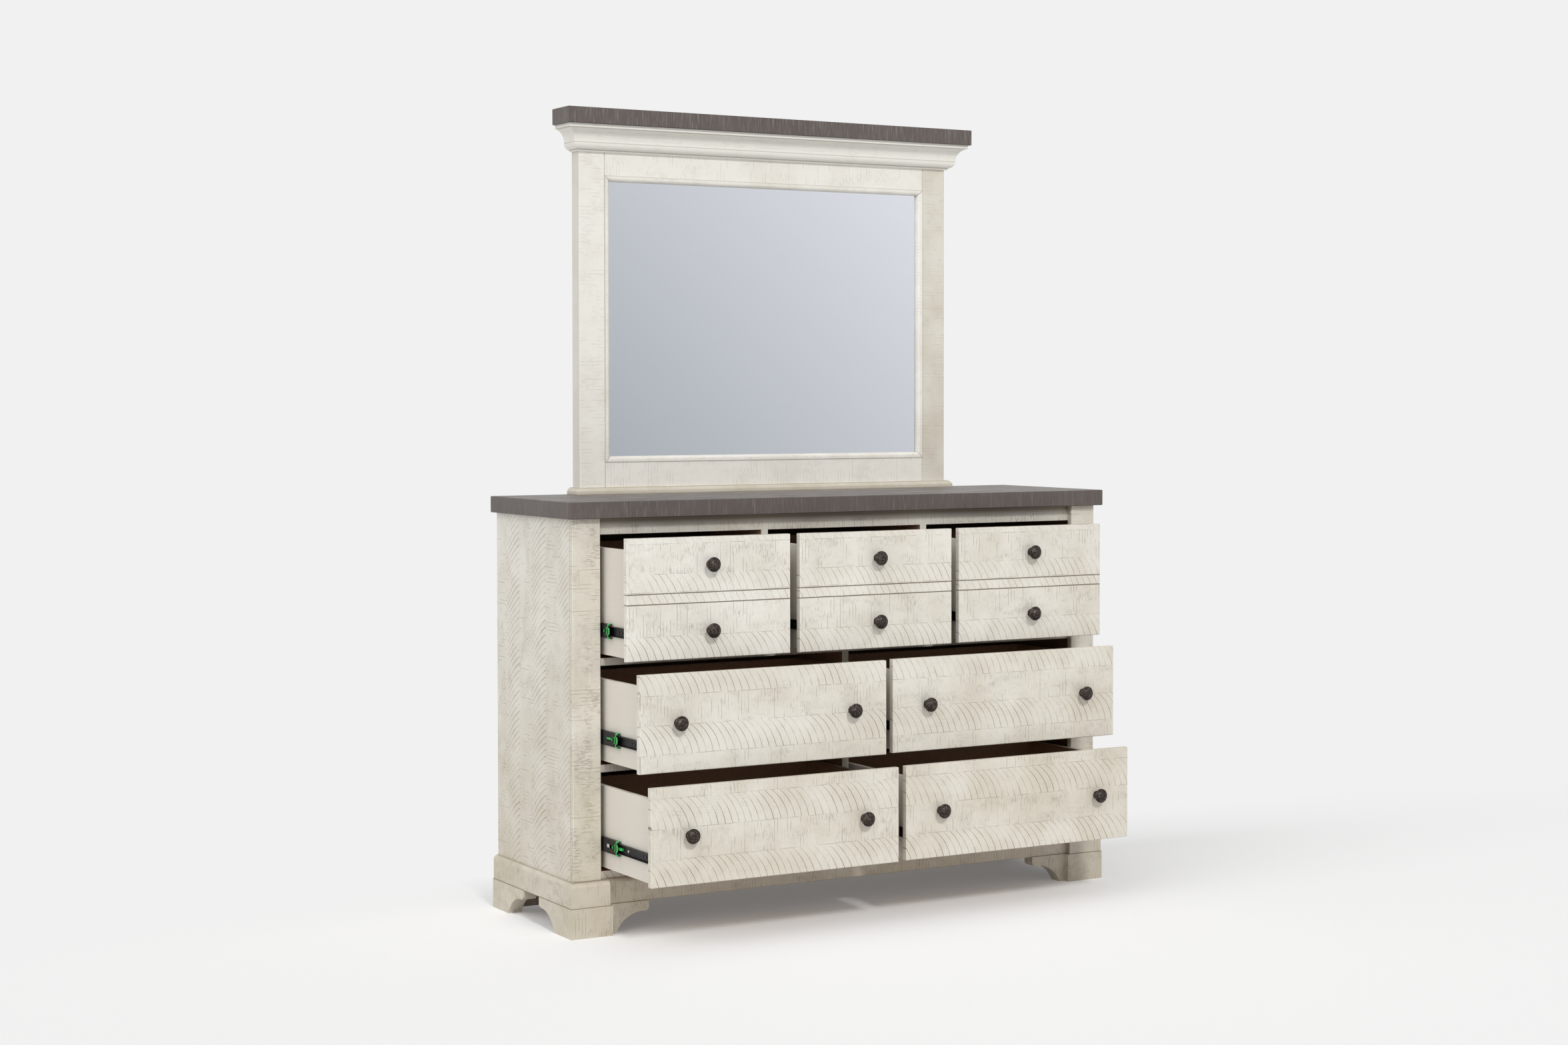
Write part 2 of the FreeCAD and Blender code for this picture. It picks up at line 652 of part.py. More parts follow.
def channel(name, start, depth, height, towards_case):
    """A rolled member: a web with two flanges."""
    half = f"{height} / 2"
    web = "sheet_metal"
    near, far = f"{start}", f"{start} + {depth}"
    back, lip = (far, near) if towards_case else (near, far)
    inner = f"{back} - {web}" if towards_case else f"{back} + {web}"
    corners = [(back, f"-{half}"), (lip, f"-{half}"), (lip, f"-{half} + {web}"),
               (inner, f"-{half} + {web}"), (inner, f"{half} - {web}"), (lip, f"{half} - {web}"),
               (lip, half), (back, half)]
    body = new_body(name)
    pad(body, f"{name}_pad", draw(body, f"{name}_sketch", "XZ_Plane", [corners]),
        "slide_length", True)
    return body


def make_slide_pieces():
    """One of each member, the claw, the lever and the cages, to be copied."""
    case_member = channel("case_member", "0", "case_member_depth", "slide_height", False)
    link_member = channel("link_member", "link_member_start", "link_member_depth",
                          "link_member_height", False)
    window = rectangle("window_start", "-window_height / 2", "window_length", "window_height")
    web_out = "link_member_start + sheet_metal"
    pocket(link_member, "link_window",
           draw(link_member, "link_window_sketch", "YZ_Plane", [window],
                f"{web_out} + cut_overrun"), "sheet_metal + 2 * cut_overrun")
    drawer_member = channel("drawer_member", "slide_thickness - drawer_member_depth",
                            "drawer_member_depth", "drawer_member_height", True)

    claw = new_body("claw")
    half = "(link_member_height / 2)"
    hook = f"({half} - claw_hook)"
    corners = [("-claw_reach", half), ("claw_bar", half), ("claw_bar", "claw_bar"),
               ("claw_bar + claw_nose", "claw_nose"), ("claw_bar + claw_nose", "-claw_nose"),
               ("claw_bar", "-claw_bar"), ("claw_bar", f"-{half}"), ("-claw_reach", f"-{half}"),
               ("-claw_reach", f"-{hook}"), ("claw_slot", f"-{hook}"), ("claw_slot", hook),
               ("-claw_reach", hook)]
    pad(claw, "claw_pad", draw(claw, "claw_sketch", "YZ_Plane", [corners],
                               "link_member_start - claw_thickness"), "claw_thickness")
    lever = board("lever", "slide_thickness - sheet_metal - lever_depth", "lever_start",
                  "-lever_height / 2", "lever_depth", "lever_length", "lever_height")

    outer_low = "link_member_height / 2 + cage_clearance"
    outer_top = "slide_height / 2 - sheet_metal - cage_clearance"
    inner_low = "drawer_member_height / 2 + cage_clearance"
    inner_top = "link_member_height / 2 - sheet_metal - cage_clearance"
    lips = "slide_thickness - drawer_member_depth"
    cages = []
    for name, y, low, top in (("rear", "slide_length - cage_length", outer_low, outer_top),
                              ("front", "cage_start", inner_low, inner_top)):
        for side, z in (("upper", low), ("lower", f"-({top})")):
            cages.append(board(f"{name}_{side}_cage", lips, y, z, "cage_width", "cage_length",
                               f"{top} - ({low})"))
    return {"case": [case_member], "link": [link_member, claw] + cages,
            "drawer": [drawer_member, lever]}


def slide_pair(name, pieces, left, width, y, z):
    """Copies of the pieces at both sides of a drawer's hole."""
    pair = []
    for side, x, turn in (("left", left, 0), ("right", f"{left} + {width}", 180)):
        unit = doc.addObject("Part::Compound", f"{name}_{side}")
        unit.Links = pieces
        pair.append(copy_of(unit, f"{name}_{side}_copy", x, y, z, turn))
    return pair


# Knobs

def ring_edges(shape, reach, least_radius):
    """Edges of the ring that lies at a distance from the drawer front."""
    return edges_where(shape, lambda p: same(-p.y, number(reach))
                       and math.hypot(p.x, p.z) > number(least_radius))


def make_knob():
    """A beaten mushroom knob: flats all round, base at y = 0, dome towards -Y."""
    body = new_body("knob")
    for name, radius, start, end, slopes in (
            ("base", "knob_base_radius", "0", "knob_base_thickness", ()),
            ("neck", "knob_neck_radius", "knob_base_thickness", "knob_neck_length", ()),
            ("head", "knob_radius", "knob_neck_length", "knob_slope_end",
             (("knob_neck_length", "knob_rim_start - knob_neck_length",
               "knob_radius - knob_flare_radius"),
              ("knob_slope_end", "knob_slope_end - knob_rim_end",
               "knob_radius - knob_slope_radius"))),
            ("dome", "knob_slope_radius", "knob_slope_end", "knob_length",
             (("knob_length", "knob_length - knob_slope_end - knob_dome_edge",
               "knob_slope_radius - knob_top_radius"),))):
        part = body.newObject("PartDesign::AdditivePrism", f"knob_{name}")
        part.AttachmentSupport = [(plane(body, "XZ_Plane"), "")]
        part.MapMode = "FlatFace"
        part.setExpression(".AttachmentOffset.Base.z", at(start))
        bind(part, Circumradius=radius, Polygon="knob_sides", Height=f"{end} - {start}")
        doc.recompute()
        for i, (reach, along, inward) in enumerate(slopes, 1):
            base = body.Tip
            slope = body.newObject("PartDesign::Chamfer", f"knob_{name}_slope_{i}")
            slope.Base = (base, ring_edges(base.Shape, reach, "knob_base_radius"))
            slope.ChamferType = "Two distances"
            slope.FlipDirection = reach == end
            bind(slope, Size=inward, Size2=along)
            doc.recompute()
    return body


# Drawers: name, the hole's left side and width, the row's lower edge, the front's height, the row

DRAWERS = (
    ("top_left", "hole_left", "top_hole", "top_row", "tall", "top"),
    ("top_centre", "top_centre_left", "top_hole", "top_row", "tall", "top"),
    ("top_right", "top_right_left", "top_hole", "top_row", "tall", "top"),
    ("middle_left", "hole_left", "wide_hole", "middle_row", "short", "middle"),
    ("middle_right", "wide_right_left", "wide_hole", "middle_row", "short", "middle"),
    ("bottom_left", "hole_left", "wide_hole", "bottom_row", "short", "bottom"),
    ("bottom_right", "wide_right_left", "wide_hole", "bottom_row", "short", "bottom"),
)


def make_front(name, left, width, low, height, y, grooved):
    """A drawer front with eased edges. A tall one has two grooves across it."""
    body = new_body(f"{name}_front")
    across = f"{width} - 2 * front_gap"
    base = pad(body, f"{name}_front_pad",
               draw(body, f"{name}_front_sketch", "XZ_Plane",
                    [rectangle("0", "0", across, height)]), "front_thickness", True)
    ease(body, f"{name}_front_ease", base, edges_where(base.Shape, lambda p: same(p.y, 0)),
         "board_ease")
    if grooved:
        mouth = "groove_width / 2 * (1 + cut_overrun / groove_depth)"
        grooves = []
        for way in ("-", "+"):
            middle = f"{height} / 2 {way} groove_spacing / 2"
            grooves.append([("-cut_overrun", f"{middle} - {mouth}"), ("groove_depth", middle),
                            ("-cut_overrun", f"{middle} + {mouth}")])
        pocket(body, f"{name}_front_grooves",
               draw(body, f"{name}_groove_sketch", "YZ_Plane", grooves, "-cut_overrun"),
               f"{across} + 2 * cut_overrun", True)
    node(put(body, f"{left} + front_gap", y, low), f"{name}_drawer_front")


def make_box(name, left, width, low, height, y):
    """Sides, inner front, back and bottom of a drawer box."""
    box_left = f"{left} + slide_thickness"
    across = f"{width} - 2 * slide_thickness"
    z = f"{low} + box_rise"
    tall = f"{height} - box_rise - box_drop"
    inside = f"{across} - 2 * box_side"
    inner_x = f"{box_left} + box_side"
    group(f"{name}_drawer_box", [
        board(f"{name}_left_side", box_left, y, z, "box_side", "box_length", tall),
        board(f"{name}_right_side", f"{box_left} + {across} - box_side", y, z, "box_side",
              "box_length", tall),
        board(f"{name}_inner_front", inner_x, y, z, inside, "box_side", tall),
        board(f"{name}_back", inner_x, f"{y} + box_length - box_side", z, inside, "box_side",
              tall),
        board(f"{name}_bottom", inner_x, f"{y} + box_side", f"{z} + box_floor_rise", inside,
              "box_length - 2 * box_side", "box_floor")])


def make_knobs(name, knob, left, width, low, height, y, grooved):
    """A tall front has its knobs one above the other, a wide one side by side."""
    if grooved:
        middle = f"{left} + {width} / 2"
        half = f"({height} / 2 - groove_spacing / 2) / 2"
        spots = ((middle, f"{low} + {half}"), (middle, f"{low} + {height} - {half}"))
    else:
        level = f"{low} + {height} / 2"
        spots = ((f"{left} + front_gap + knob_inset", level),
                 (f"{left} + {width} - front_gap - knob_inset", level))
    group(f"{name}_drawer_knobs", [copy_of(knob, f"{name}_knob_{i}", x, y, z)
                                   for i, (x, z) in enumerate(spots, 1)])


def make_drawers():
    slide = make_slide_pieces()
    knob = make_knob()
    case_members = []
    for name, left, width, low, size, row in DRAWERS:
        height = f"{size}_front_height"
        pull = f"{name}_pull"
        grooved = size == "tall"
        front_y = f"rail_front - {pull}"
        make_front(name, left, width, low, height, front_y, grooved)
        make_box(name, left, width, low, height, f"front_rear - {pull}")
        make_knobs(name, knob, left, width, low, height, front_y, grooved)
        level = f"{low} + slide_rise"
        group(f"{name}_drawer_slide_members",
              slide_pair(f"{name}_drawer_members", slide["drawer"], left, width,
                         f"slide_front - {pull}", level))
        group(f"{name}_middle_slide_members",
              slide_pair(f"{name}_link_members", slide["link"], left, width,
                         f"slide_front - {pull} * {row}_link_share", level))
        case_members += slide_pair(f"{name}_case_members", slide["case"], left, width,
                                   "slide_front", level)
    group("cabinet_slide_members", case_members)
    spacers = []
    depth = "slide_front + slide_length - rail_front"
    for row in ("top", "middle", "bottom"):
        for side, x in (("left", "-panel_inside"), ("right", "hole_side")):
            spacers.append(board(f"{row}_{side}_spacer", x, "rail_front",
                                 f"{row}_row + slide_rise - spacer_height / 2",
                                 "stile_width - panel_thickness", depth, "spacer_height"))
    group("slide_spacers", spacers)


def check_and_write():
    doc.recompute()
    for obj in doc.Objects:
        if "Invalid" in obj.State or "Error" in obj.State:
            raise RuntimeError(f"{obj.Label} did not build: {obj.State}")
    for obj in nodes:
        if obj.Shape.isNull() or not obj.Shape.isValid():
            raise RuntimeError(f"{obj.Label} has no sound shape")
    os.makedirs("parts", exist_ok=True)
    for obj in nodes:
        obj.Shape.exportStep(f"parts/{obj.Label}.step")
    print(len(nodes), "nodes written")


make_case()
make_partitions()
make_plinth()
make_feet()
make_mirror()
make_crown()
make_base_moulding()
make_drawers()
check_and_write()
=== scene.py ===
import math

import bmesh
import bpy
from bpy.props import FloatProperty, FloatVectorProperty, PointerProperty
from mathutils import Matrix, Vector


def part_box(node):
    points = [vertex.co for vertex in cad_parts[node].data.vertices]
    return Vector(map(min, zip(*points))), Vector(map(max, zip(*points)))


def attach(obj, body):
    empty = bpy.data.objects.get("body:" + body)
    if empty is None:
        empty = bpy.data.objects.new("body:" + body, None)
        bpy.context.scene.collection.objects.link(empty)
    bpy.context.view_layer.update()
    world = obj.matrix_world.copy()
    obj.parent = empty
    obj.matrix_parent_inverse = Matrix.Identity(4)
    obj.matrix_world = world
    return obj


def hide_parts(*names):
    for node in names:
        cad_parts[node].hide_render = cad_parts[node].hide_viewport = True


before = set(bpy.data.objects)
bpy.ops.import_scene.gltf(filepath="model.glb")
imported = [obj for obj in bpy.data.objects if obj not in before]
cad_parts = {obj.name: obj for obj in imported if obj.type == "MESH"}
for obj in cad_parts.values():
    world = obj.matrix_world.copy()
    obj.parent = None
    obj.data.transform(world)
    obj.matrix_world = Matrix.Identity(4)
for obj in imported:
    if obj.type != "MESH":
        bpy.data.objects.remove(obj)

bl_info = {
    "name": "Dresser with mirror",
    "version": (1, 0, 0),
    "blender": (4, 5, 0),
    "location": "3D View > Sidebar > Dresser",
    "description": "Paint, drawer boxes, knobs and slide fittings of a dresser with a mirror",
    "category": "Object",
}

DRAWERS = ("top_left", "top_centre", "top_right", "middle_left", "middle_right",
           "bottom_left", "bottom_right")
# All lengths are in metres. A limit of paint lies this far from the face that it marks, and a
# piece that covers a solid stands at least this far proud of it.
SKIN = 0.0005
COVER = 0.0001

# Bands of saw marks: where a band starts and ends, the place from which its arcs bend, and how
# strong they are. On the fronts of each row, they are measured from the front's lower edge.
FRONT_BANDS = {
    "top": ((0.277, 0.2915, 0.312, 0.4), (0.162, 0.2055, 0.218, 0.8),
            (0.135, 0.157, 0.183, 0.7), (-0.01, 0.0565, 0.064, 0.9)),
    "middle": ((0.1825, 0.24, 0.252, 0.9), (0.0425, 0.1115, 0.1115, 1.0)),
    "bottom": ((0.1355, 0.2065, 0.2065, 1.0), (-0.01, 0.0625, 0.0625, 1.0)),
}
# On the side panels, they are measured from the front of the case, and on the top from its edge.
SIDE_BANDS = ((0.019, 0.075, 0.080, 0.8), (0.153, 0.232, 0.235, 1.0),
              (0.310, 0.381, 0.385, 1.0))
TOP_BANDS = ((0.001, 0.036, 0.113, 1.0), (0.050, 0.104, 0.172, 0.7),
             (0.124, 0.196, 0.250, 0.9), (0.208, 0.276, 0.340, 0.6),
             (0.298, 0.372, 0.430, 0.8), (0.386, 0.464, 0.520, 0.6))
# The arcs of the bottom board's edge bend from a place this far above it.
EDGE_RISE = 0.01
# A saw mark's centre below the place from which it bends, as a share of the mark's radius
SAW_REACH = 0.79

# The two grooves that make a top front look like two drawers
FRONT_GROOVES = {"top": (0.1335, 0.1585), "middle": (), "bottom": ()}
# How yellow and dark each row is at its left and right end: yellowed paint, with a painted
# falloff of light towards the lower right
FRONT_AGE_AND_FALLOFF = {"top": (0.20, 0.43), "middle": (0.34, 0.56), "bottom": (0.52, 0.62)}
# The stiles grow less yellow and lighter from the first height to the second: yellowed paint
# with painted shade low down.
STILE_DRIFT = ("z", 0.15, 0.50, 0.50)
# The mirror's rails turn a little yellow and darker downward from this far above the glass:
# yellowed paint with a painted falloff of light.
RAIL_RISE = 0.06

# Widths of glaze in joints and along edges, of painted shade on a whole face and under the top
FINE_JOINT = 0.0010
BOARD_EDGE = 0.0012
SOFT_JOINT = 0.0014
GROOVE = 0.0016
MITRE = 0.0020
FACE_SHADE = 0.0008
TOP_SHADE = 0.020
# Lines of glaze and painted shade at the steps of the crown's profile, from its upper edge,
# as shares of its height
CROWN_LINE_SHARES = (0.145, 0.675, 0.94)
# Lines on the mirror's mouldings, inward from their edges: glaze and painted shade on the
# base moulding, glaze on the bead
MOULDING_INSET = 0.001
BEAD_INSET = 0.0008

# Features of the patterns in paint, stain and bronze, along X, Y and Z
BLOTCHES = (0.12, 0.12, 0.12)
SMUDGES = (0.05, 0.05, 0.035)
BREAKS = (0.04, 0.04, 0.04)
WEAR = (0.06, 0.06, 0.06)
SWAY = (0.2, 0.2, 0.2)
CLOUDS = (0.18, 0.18, 0.18)
BURNISH = (0.005, 0.005, 0.005)
# The same pattern this far away stands for a second one.
APART = (3.0, 3.0, 3.0)
# A patch of ruled lines and a rubbed ridge, along the grain and across it
RULED_PATCH = (0.060, 0.018)
RUBBED_RIDGE = (0.05, 0.0030)
# The veins of a board that stands up and of one that runs back, 6 mm apart
UPRIGHT_VEINS = (0.006, 0.006, 0.17)
LEVEL_VEINS = (0.006, 0.17, 0.006)
# Fine grain of coating, moulding or plating, drawn 3 mm wide so that it shows
COATING = (0.003, 0.003, 0.003)
# Depths of the relief. Strokes and saw marks are cut in, and the dents' edges stand out.
PAINT_RELIEF = -0.00012
STAIN_RELIEF = -0.0002
DENT_RELIEF = 0.0008
# The hammer leaves dents 4 mm across, so many of them in a metre.
DENTS = 260.0

# A knob's outline as (share of a radius, height): its base and its neck from the drawer front,
# and its head from the rim, up to the ring round the dome
KNOB_BASE = ((0.0, 0.0), (1.0, 0.0), (1.0, 0.0048), (0.93, 0.0062))
KNOB_NECK = ((1.04, 0.0082), (1.0, 0.0105), (1.16, 0.0128))
KNOB_HEAD = ((0.70, -0.0045), (0.93, -0.0026), (0.99, -0.0010), (1.0, 0.0006), (0.985, 0.0022),
             (0.93, 0.0034), (0.86, 0.0038), (0.83, 0.0034), (0.80, 0.0036))
DOME_STEPS = 6
KNOB_STEPS = 40

# A claw from its side, as (back, up) from the middle of its slide member's front end. These are
# the upper halves of the bow with its hook and of the forked spring behind it.
CLAW_BOW = ((-0.0012, 0.0), (-0.0006, 0.0040), (0.0016, 0.0078), (0.0046, 0.0098),
            (0.0046, 0.0145), (-0.0014, 0.0145), (-0.0014, 0.0172), (0.0084, 0.0172),
            (0.0084, 0.0090), (0.0058, 0.0062), (0.0044, 0.0034), (0.0040, 0.0))
CLAW_SPRING = ((0.0106, 0.0), (0.0106, 0.0040), (0.0150, 0.0088), (0.0172, 0.0080),
               (0.0136, 0.0034), (0.0136, 0.0))
# A claw's two lips have these undersides, up from the middle, and these ends.
CLAW_LIPS = (0.0172, -0.0184)
CLAW_LIP_ENDS = (-0.0014, 0.0046)
# Its tab lies between these places, and is as thick as a lip.
CLAW_TAB = (0.026, 0.029)
CLAW_TAB_HALF = 0.003
CLAW_LIP = 0.0012
# Rounded edges of a claw's lips, a lever and a cage end
LIP_ROUND = 0.0004
LEVER_ROUND = 0.0006
CAGE_ROUND = 0.0002
# A cage end lies between these depths in its slide. It is here in the drawer that stands open
# farthest, by FAR_PULL, and farther back in the others.
CAGE_DEPTHS = (0.0030, 0.0036)
CAGE_PLACE = 0.042
CAGE_LENGTH = 0.014
CAGE_HALF = 0.0055
FAR_PULL = 0.274
# Screws and rivets of a drawer member, behind its front end, and their heads' height and rounding
SCREW_PLACES = (0.025, 0.042)
RIVET_PLACE = 0.116
RIVET_RADIUS = 0.0032
SLIDE_SCREW = (0.0014, 0.0007)
RIVET = (0.0010, 0.0004)
SUPPORT_SCREW = (0.0016, 0.0008)
# A head starts this far under the surface of the mirror's battens.
SCREW_SINK = 0.0004
# The width of those battens, and their screws: above their lower end, below and above the top's
# surface, and below the upper edge of the mirror's rails
SUPPORT_WIDTH = 0.06
SUPPORT_PLACES = (0.05, 0.06, 0.05, 0.11)

# Soft studio light: the sky's strength, and each lamp's name, strength, spread in degrees and
# the direction it shines from.
AMBIENT = 0.40
LAMPS = (("key light", 1.27, 9, (-0.15, -1.0, 0.76)),
         ("left light", 1.15, 60, (-0.85, -0.35, 0.60)))
# The share of the light that the floor gives back, and how far it goes from the dresser
FLOOR_TONE = 0.90
FLOOR_REACH = 150.0
# Behind the dresser, the floor turns into an even backdrop between these two distances.
FLOOR_FADE = (0.25, 0.75)

# The photograph's camera: its place and its yaw, pitch and roll in degrees, and in pixels its
# focal length, the picture's width and the heights of its optical axis and its middle
CAMERA_PLACE = (-3.3467, -5.5722, 1.2908)
CAMERA_TURN = (29.94, -1.60, -0.07)
FOCUS = 3807.2
PHOTO_WIDTH = 2352
AXIS_Y = 704.25
PHOTO_MIDDLE_Y = 784


def colour(text):
    """Linear colour of an sRGB hex code."""
    values = [int(text[i:i + 2], 16) / 255 for i in (1, 3, 5)]
    return tuple(v / 12.92 if v <= 0.04045 else ((v + 0.055) / 1.055) ** 2.4 for v in values)


def tint(name, description, text):
    """A colour that a user can change."""
    return FloatVectorProperty(name=name, description=description, subtype="COLOR", size=4,
                               min=0, max=1, default=(*colour(text), 1))


def metres(name, description, default):
    """A length that a user can change."""
    return FloatProperty(name=name, description=description, default=default, min=0,
                         unit="LENGTH")


class DresserColours(bpy.types.PropertyGroup):
    paint: tint("Paint", "Antique white paint of the case, fronts and mirror", "#efece4")
    # The aged paint is yellowed paint, and where a drift leads to it, a painted falloff of light.
    paint_aged_and_shaded: tint("Aged paint", "The paint where it is rubbed and yellow", "#c8bfac")
    # The glaze colour also paints the shade under the top and on whole faces.
    glaze: tint("Glaze", "Brown-grey glaze in the saw marks and seams", "#786753")
    stain: tint("Stain", "Dark warm grey stain of the top and the cap", "#5d5450")
    stain_dark: tint("Dark stain", "Stain in the pores", "#443c37")
    # The light stain shows rubbed wear, and on the top's saw ridges also a painted highlight.
    stain_worn_and_highlight: tint("Light stain", "Rubbed ridges of the saw marks", "#c4beb7")
    inside: tint("Inside", "Brown inside of the case and the boxes", "#a9896d")
    box: tint("Box", "Light outside of the drawer boxes", "#ddd7cc")
    raw: tint("Bare board", "Unpainted boards at the back", "#8b7359")
    bronze: tint("Bronze", "Dark beaten knobs", "#332d2a")
    steel: tint("Steel", "Black coated steel of the slides", "#1d1d20")
    screw: tint("Screws", "Dark zinc of the slide screws", "#4c4c50")
    zinc: tint("Zinc", "Bright zinc of the screws behind the mirror", "#8a8b8f")
    bright: tint("Bright steel", "Rivets and ball cages of the slides", "#e4e4e4")
    plastic: tint("Plastic", "Green claws and levers of the slides", "#35b556")
    # The glass colours are a painted reflection, darker at the lower left than the upper right.
    painted_reflection_low: tint("Glass, low", "Mirror, lower left", "#b2b8be")
    painted_reflection_high: tint("Glass, high", "Mirror, upper right", "#e9ecf3")
    backdrop: tint("Backdrop", "Background and far floor", "#f1f1f1")


class DresserSizes(bpy.types.PropertyGroup):
    board_round: metres("Board rounding", "Rounded edges of the box boards", 0.0012)
    box_board: metres("Box board", "Thickness of a drawer box's sides", 0.012)
    box_floor: metres("Box floor", "Thickness of a drawer box's bottom", 0.005)
    box_floor_rise: metres("Box floor rise", "Bottom above the box's lower edge", 0.010)
    saw_spacing: metres("Saw marks", "Spacing of the marks on the fronts", 0.0195)
    side_spacing: metres("Side saw marks", "Spacing of the marks on the sides", 0.0165)
    top_spacing: metres("Top saw marks", "Spacing of the marks on the top", 0.0074)
    saw_radius: metres("Saw radius", "Radius of the curved saw marks", 0.120)
    side_radius: metres("Side saw radius", "Radius of the marks on the sides", 0.195)
    line_spacing: metres("Ruled lines", "Spacing of the straight planer lines", 0.0090)
    saw_line: metres("Saw line", "Width of one saw mark", 0.0018)
    stroke_width: metres("Stroke width", "Fine strokes of glaze, across", 0.0016)
    stroke_length: metres("Stroke length", "Fine strokes of glaze, along", 0.014)
    patch: metres("Patch", "Size of the patches where the glaze shows", 0.055)
    knob_neck: metres("Knob neck", "Radius of a knob's neck", 0.0078)
    knob_base: metres("Knob base", "Radius of a knob's base", 0.0105)
    knob_rim: metres("Knob rim", "Rim of a knob, from the drawer front", 0.0195)
    claw_plate: metres("Claw plate", "Thickness of a slide's plastic claw", 0.0015)
    claw_reach: metres("Claw reach", "Claw in front of its slide member", 0.001)
    claw_wrap: metres("Claw wrap", "Claw's lips over the edges of its member", 0.0085)
    slide_web: metres("Slide web", "Drawer member's open edge to its web", 0.0059)
    lever_start: metres("Lever place", "Release lever behind the member's end", 0.140)
    lever_length: metres("Lever length", "Release lever of a slide", 0.023)
    lever_height: metres("Lever height", "Release lever of a slide", 0.005)
    screw_head: metres("Screw head", "Radius of the slide screws' heads", 0.0032)


def choices():
    """The colours and the lengths that a user can change."""
    scene = bpy.context.scene
    return scene.dresser_colours, scene.dresser_sizes


# Shader nodes

def node(tree, kind, inputs, output=0, **settings):
    """Adds a node with its settings and returns one of its outputs.

    Each input, under its name or number, is an output to link or a plain value.
    """
    made = tree.nodes.new(f"ShaderNode{kind}")
    for name, value in settings.items():
        setattr(made, name, value)
    for key, value in inputs.items():
        if isinstance(value, bpy.types.NodeSocket):
            tree.links.new(value, made.inputs[key])
        else:
            made.inputs[key].default_value = value
    return made.outputs[output] if made.outputs else None


def new_finish(name):
    """A new material, its empty tree, and the point and its X, Y and Z in the frame."""
    material = bpy.data.materials.new(name)
    material.use_nodes = True
    tree = material.node_tree
    tree.nodes.clear()
    point = node(tree, "TexCoord", {}, "Object")
    split = node(tree, "SeparateXYZ", {0: point}).node
    return material, tree, point, dict(zip("xyz", split.outputs))


def end_finish(tree, shade, roughness, metallic=0.0, height=None, depth=0.0):
    """Gives a finish its shader, with relief of a depth where it has a height."""
    inputs = {"Base Color": shade, "Roughness": roughness, "Metallic": metallic}
    if height:
        inputs["Normal"] = node(tree, "Bump", {"Height": height, "Distance": depth})
    node(tree, "OutputMaterial", {"Surface": node(tree, "BsdfPrincipled", inputs)})


# Marks in the wood

def mottle(tree, point, sizes, low, high, at_low=0.0, at_high=1.0, detail=2.0):
    """Noise with features of these sizes along X, Y and Z, spread between two values."""
    scale = [1 / size for size in sizes]
    spread = node(tree, "VectorMath", {0: point, 1: scale}, operation="MULTIPLY")
    noise = node(tree, "TexNoise", {"Vector": spread, "Scale": 1.0, "Detail": detail,
                                    "Roughness": 0.6})
    return node(tree, "MapRange", {"Value": noise, "From Min": low, "From Max": high,
                                   "To Min": at_low, "To Max": at_high})


def stretched(along, sizes):
    """The first size on the axes that a board's grain runs along, and the second across them."""
    return [sizes[0] if axis in along else sizes[1] for axis in "xyz"]


def strokes(tree, point, along, width, length, patch):
    """Fine strokes along some axes, strong in patches and faint elsewhere."""
    fine = mottle(tree, point, stretched(along, (length, width)), 0.46, 0.62)
    where = mottle(tree, point, stretched(along, (patch * 0.6, patch * 1.3)), 0.48, 0.66,
                   0.20, 1.0, 3.0)
    return node(tree, "Math", {0: fine, 1: where}, operation="MULTIPLY")


def even_lines(tree, along, spacing, width, reach, strength):
    """Soft lines at an even spacing. They fade out at a reach of so many widths."""
    away = node(tree, "Math", {0: along, 1: spacing / 2}, operation="PINGPONG")
    return node(tree, "MapRange", {"Value": away, "From Min": width * 0.2,
                                   "From Max": width * reach, "To Min": strength,
                                   "To Max": 0.0})


def ruled_lines(tree, point, places, along, sizes):
    """Thin straight lines of the planer, a few at a time, at an even spacing."""
    ahead = places["z"]
    if along == "z":
        ahead = node(tree, "Math", {0: places["x"], 1: places["y"]}, operation="ADD")
    lines = even_lines(tree, ahead, sizes.line_spacing, sizes.stroke_width, 0.6, 1.0)
    there = mottle(tree, point, stretched(along, RULED_PATCH), 0.53, 0.62, detail=1.0)
    return node(tree, "Math", {0: lines, 1: there}, operation="MULTIPLY")


def saw_marks(tree, point, places, run, side, bands, width, spacing, radius):
    """Arcs of a round saw in bands across a board, and the places of those bands."""
    sway = mottle(tree, point, SWAY, 0.0, 1.0, 0.0, spacing * 1.2, 1.0)
    swayed = node(tree, "Math", {0: places[run], 1: sway}, operation="ADD")
    arcs, inside = 0.0, 0.0
    for low, high, top, strength in bands:
        across = node(tree, "Math", {0: places[side], 1: top - SAW_REACH * radius},
                      operation="SUBTRACT")
        square = node(tree, "Math", {0: across, 1: across}, operation="MULTIPLY")
        rest = node(tree, "Math", {0: radius ** 2, 1: square}, operation="SUBTRACT")
        bow = node(tree, "Math", {0: rest}, operation="SQRT")
        along = node(tree, "Math", {0: swayed, 1: bow}, operation="SUBTRACT")
        lines = even_lines(tree, along, spacing, width, 0.7, strength)
        here = node(tree, "Math", {0: places[side], 1: (low + high) / 2, 2: (high - low) / 2},
                    operation="COMPARE")
        arcs = node(tree, "Math", {0: lines, 1: here, 2: arcs}, operation="MULTIPLY_ADD")
        inside = node(tree, "Math", {0: inside, 1: here}, operation="ADD")
    worn = mottle(tree, point, WEAR, 0.36, 0.60, 0.25, 1.0, 3.0)
    return node(tree, "Math", {0: arcs, 1: worn}, operation="MULTIPLY"), inside


def placed(bands, start):
    """Bands of saw marks, measured from the place where their board starts."""
    return [(*(start + place for place in band[:3]), band[3]) for band in bands]


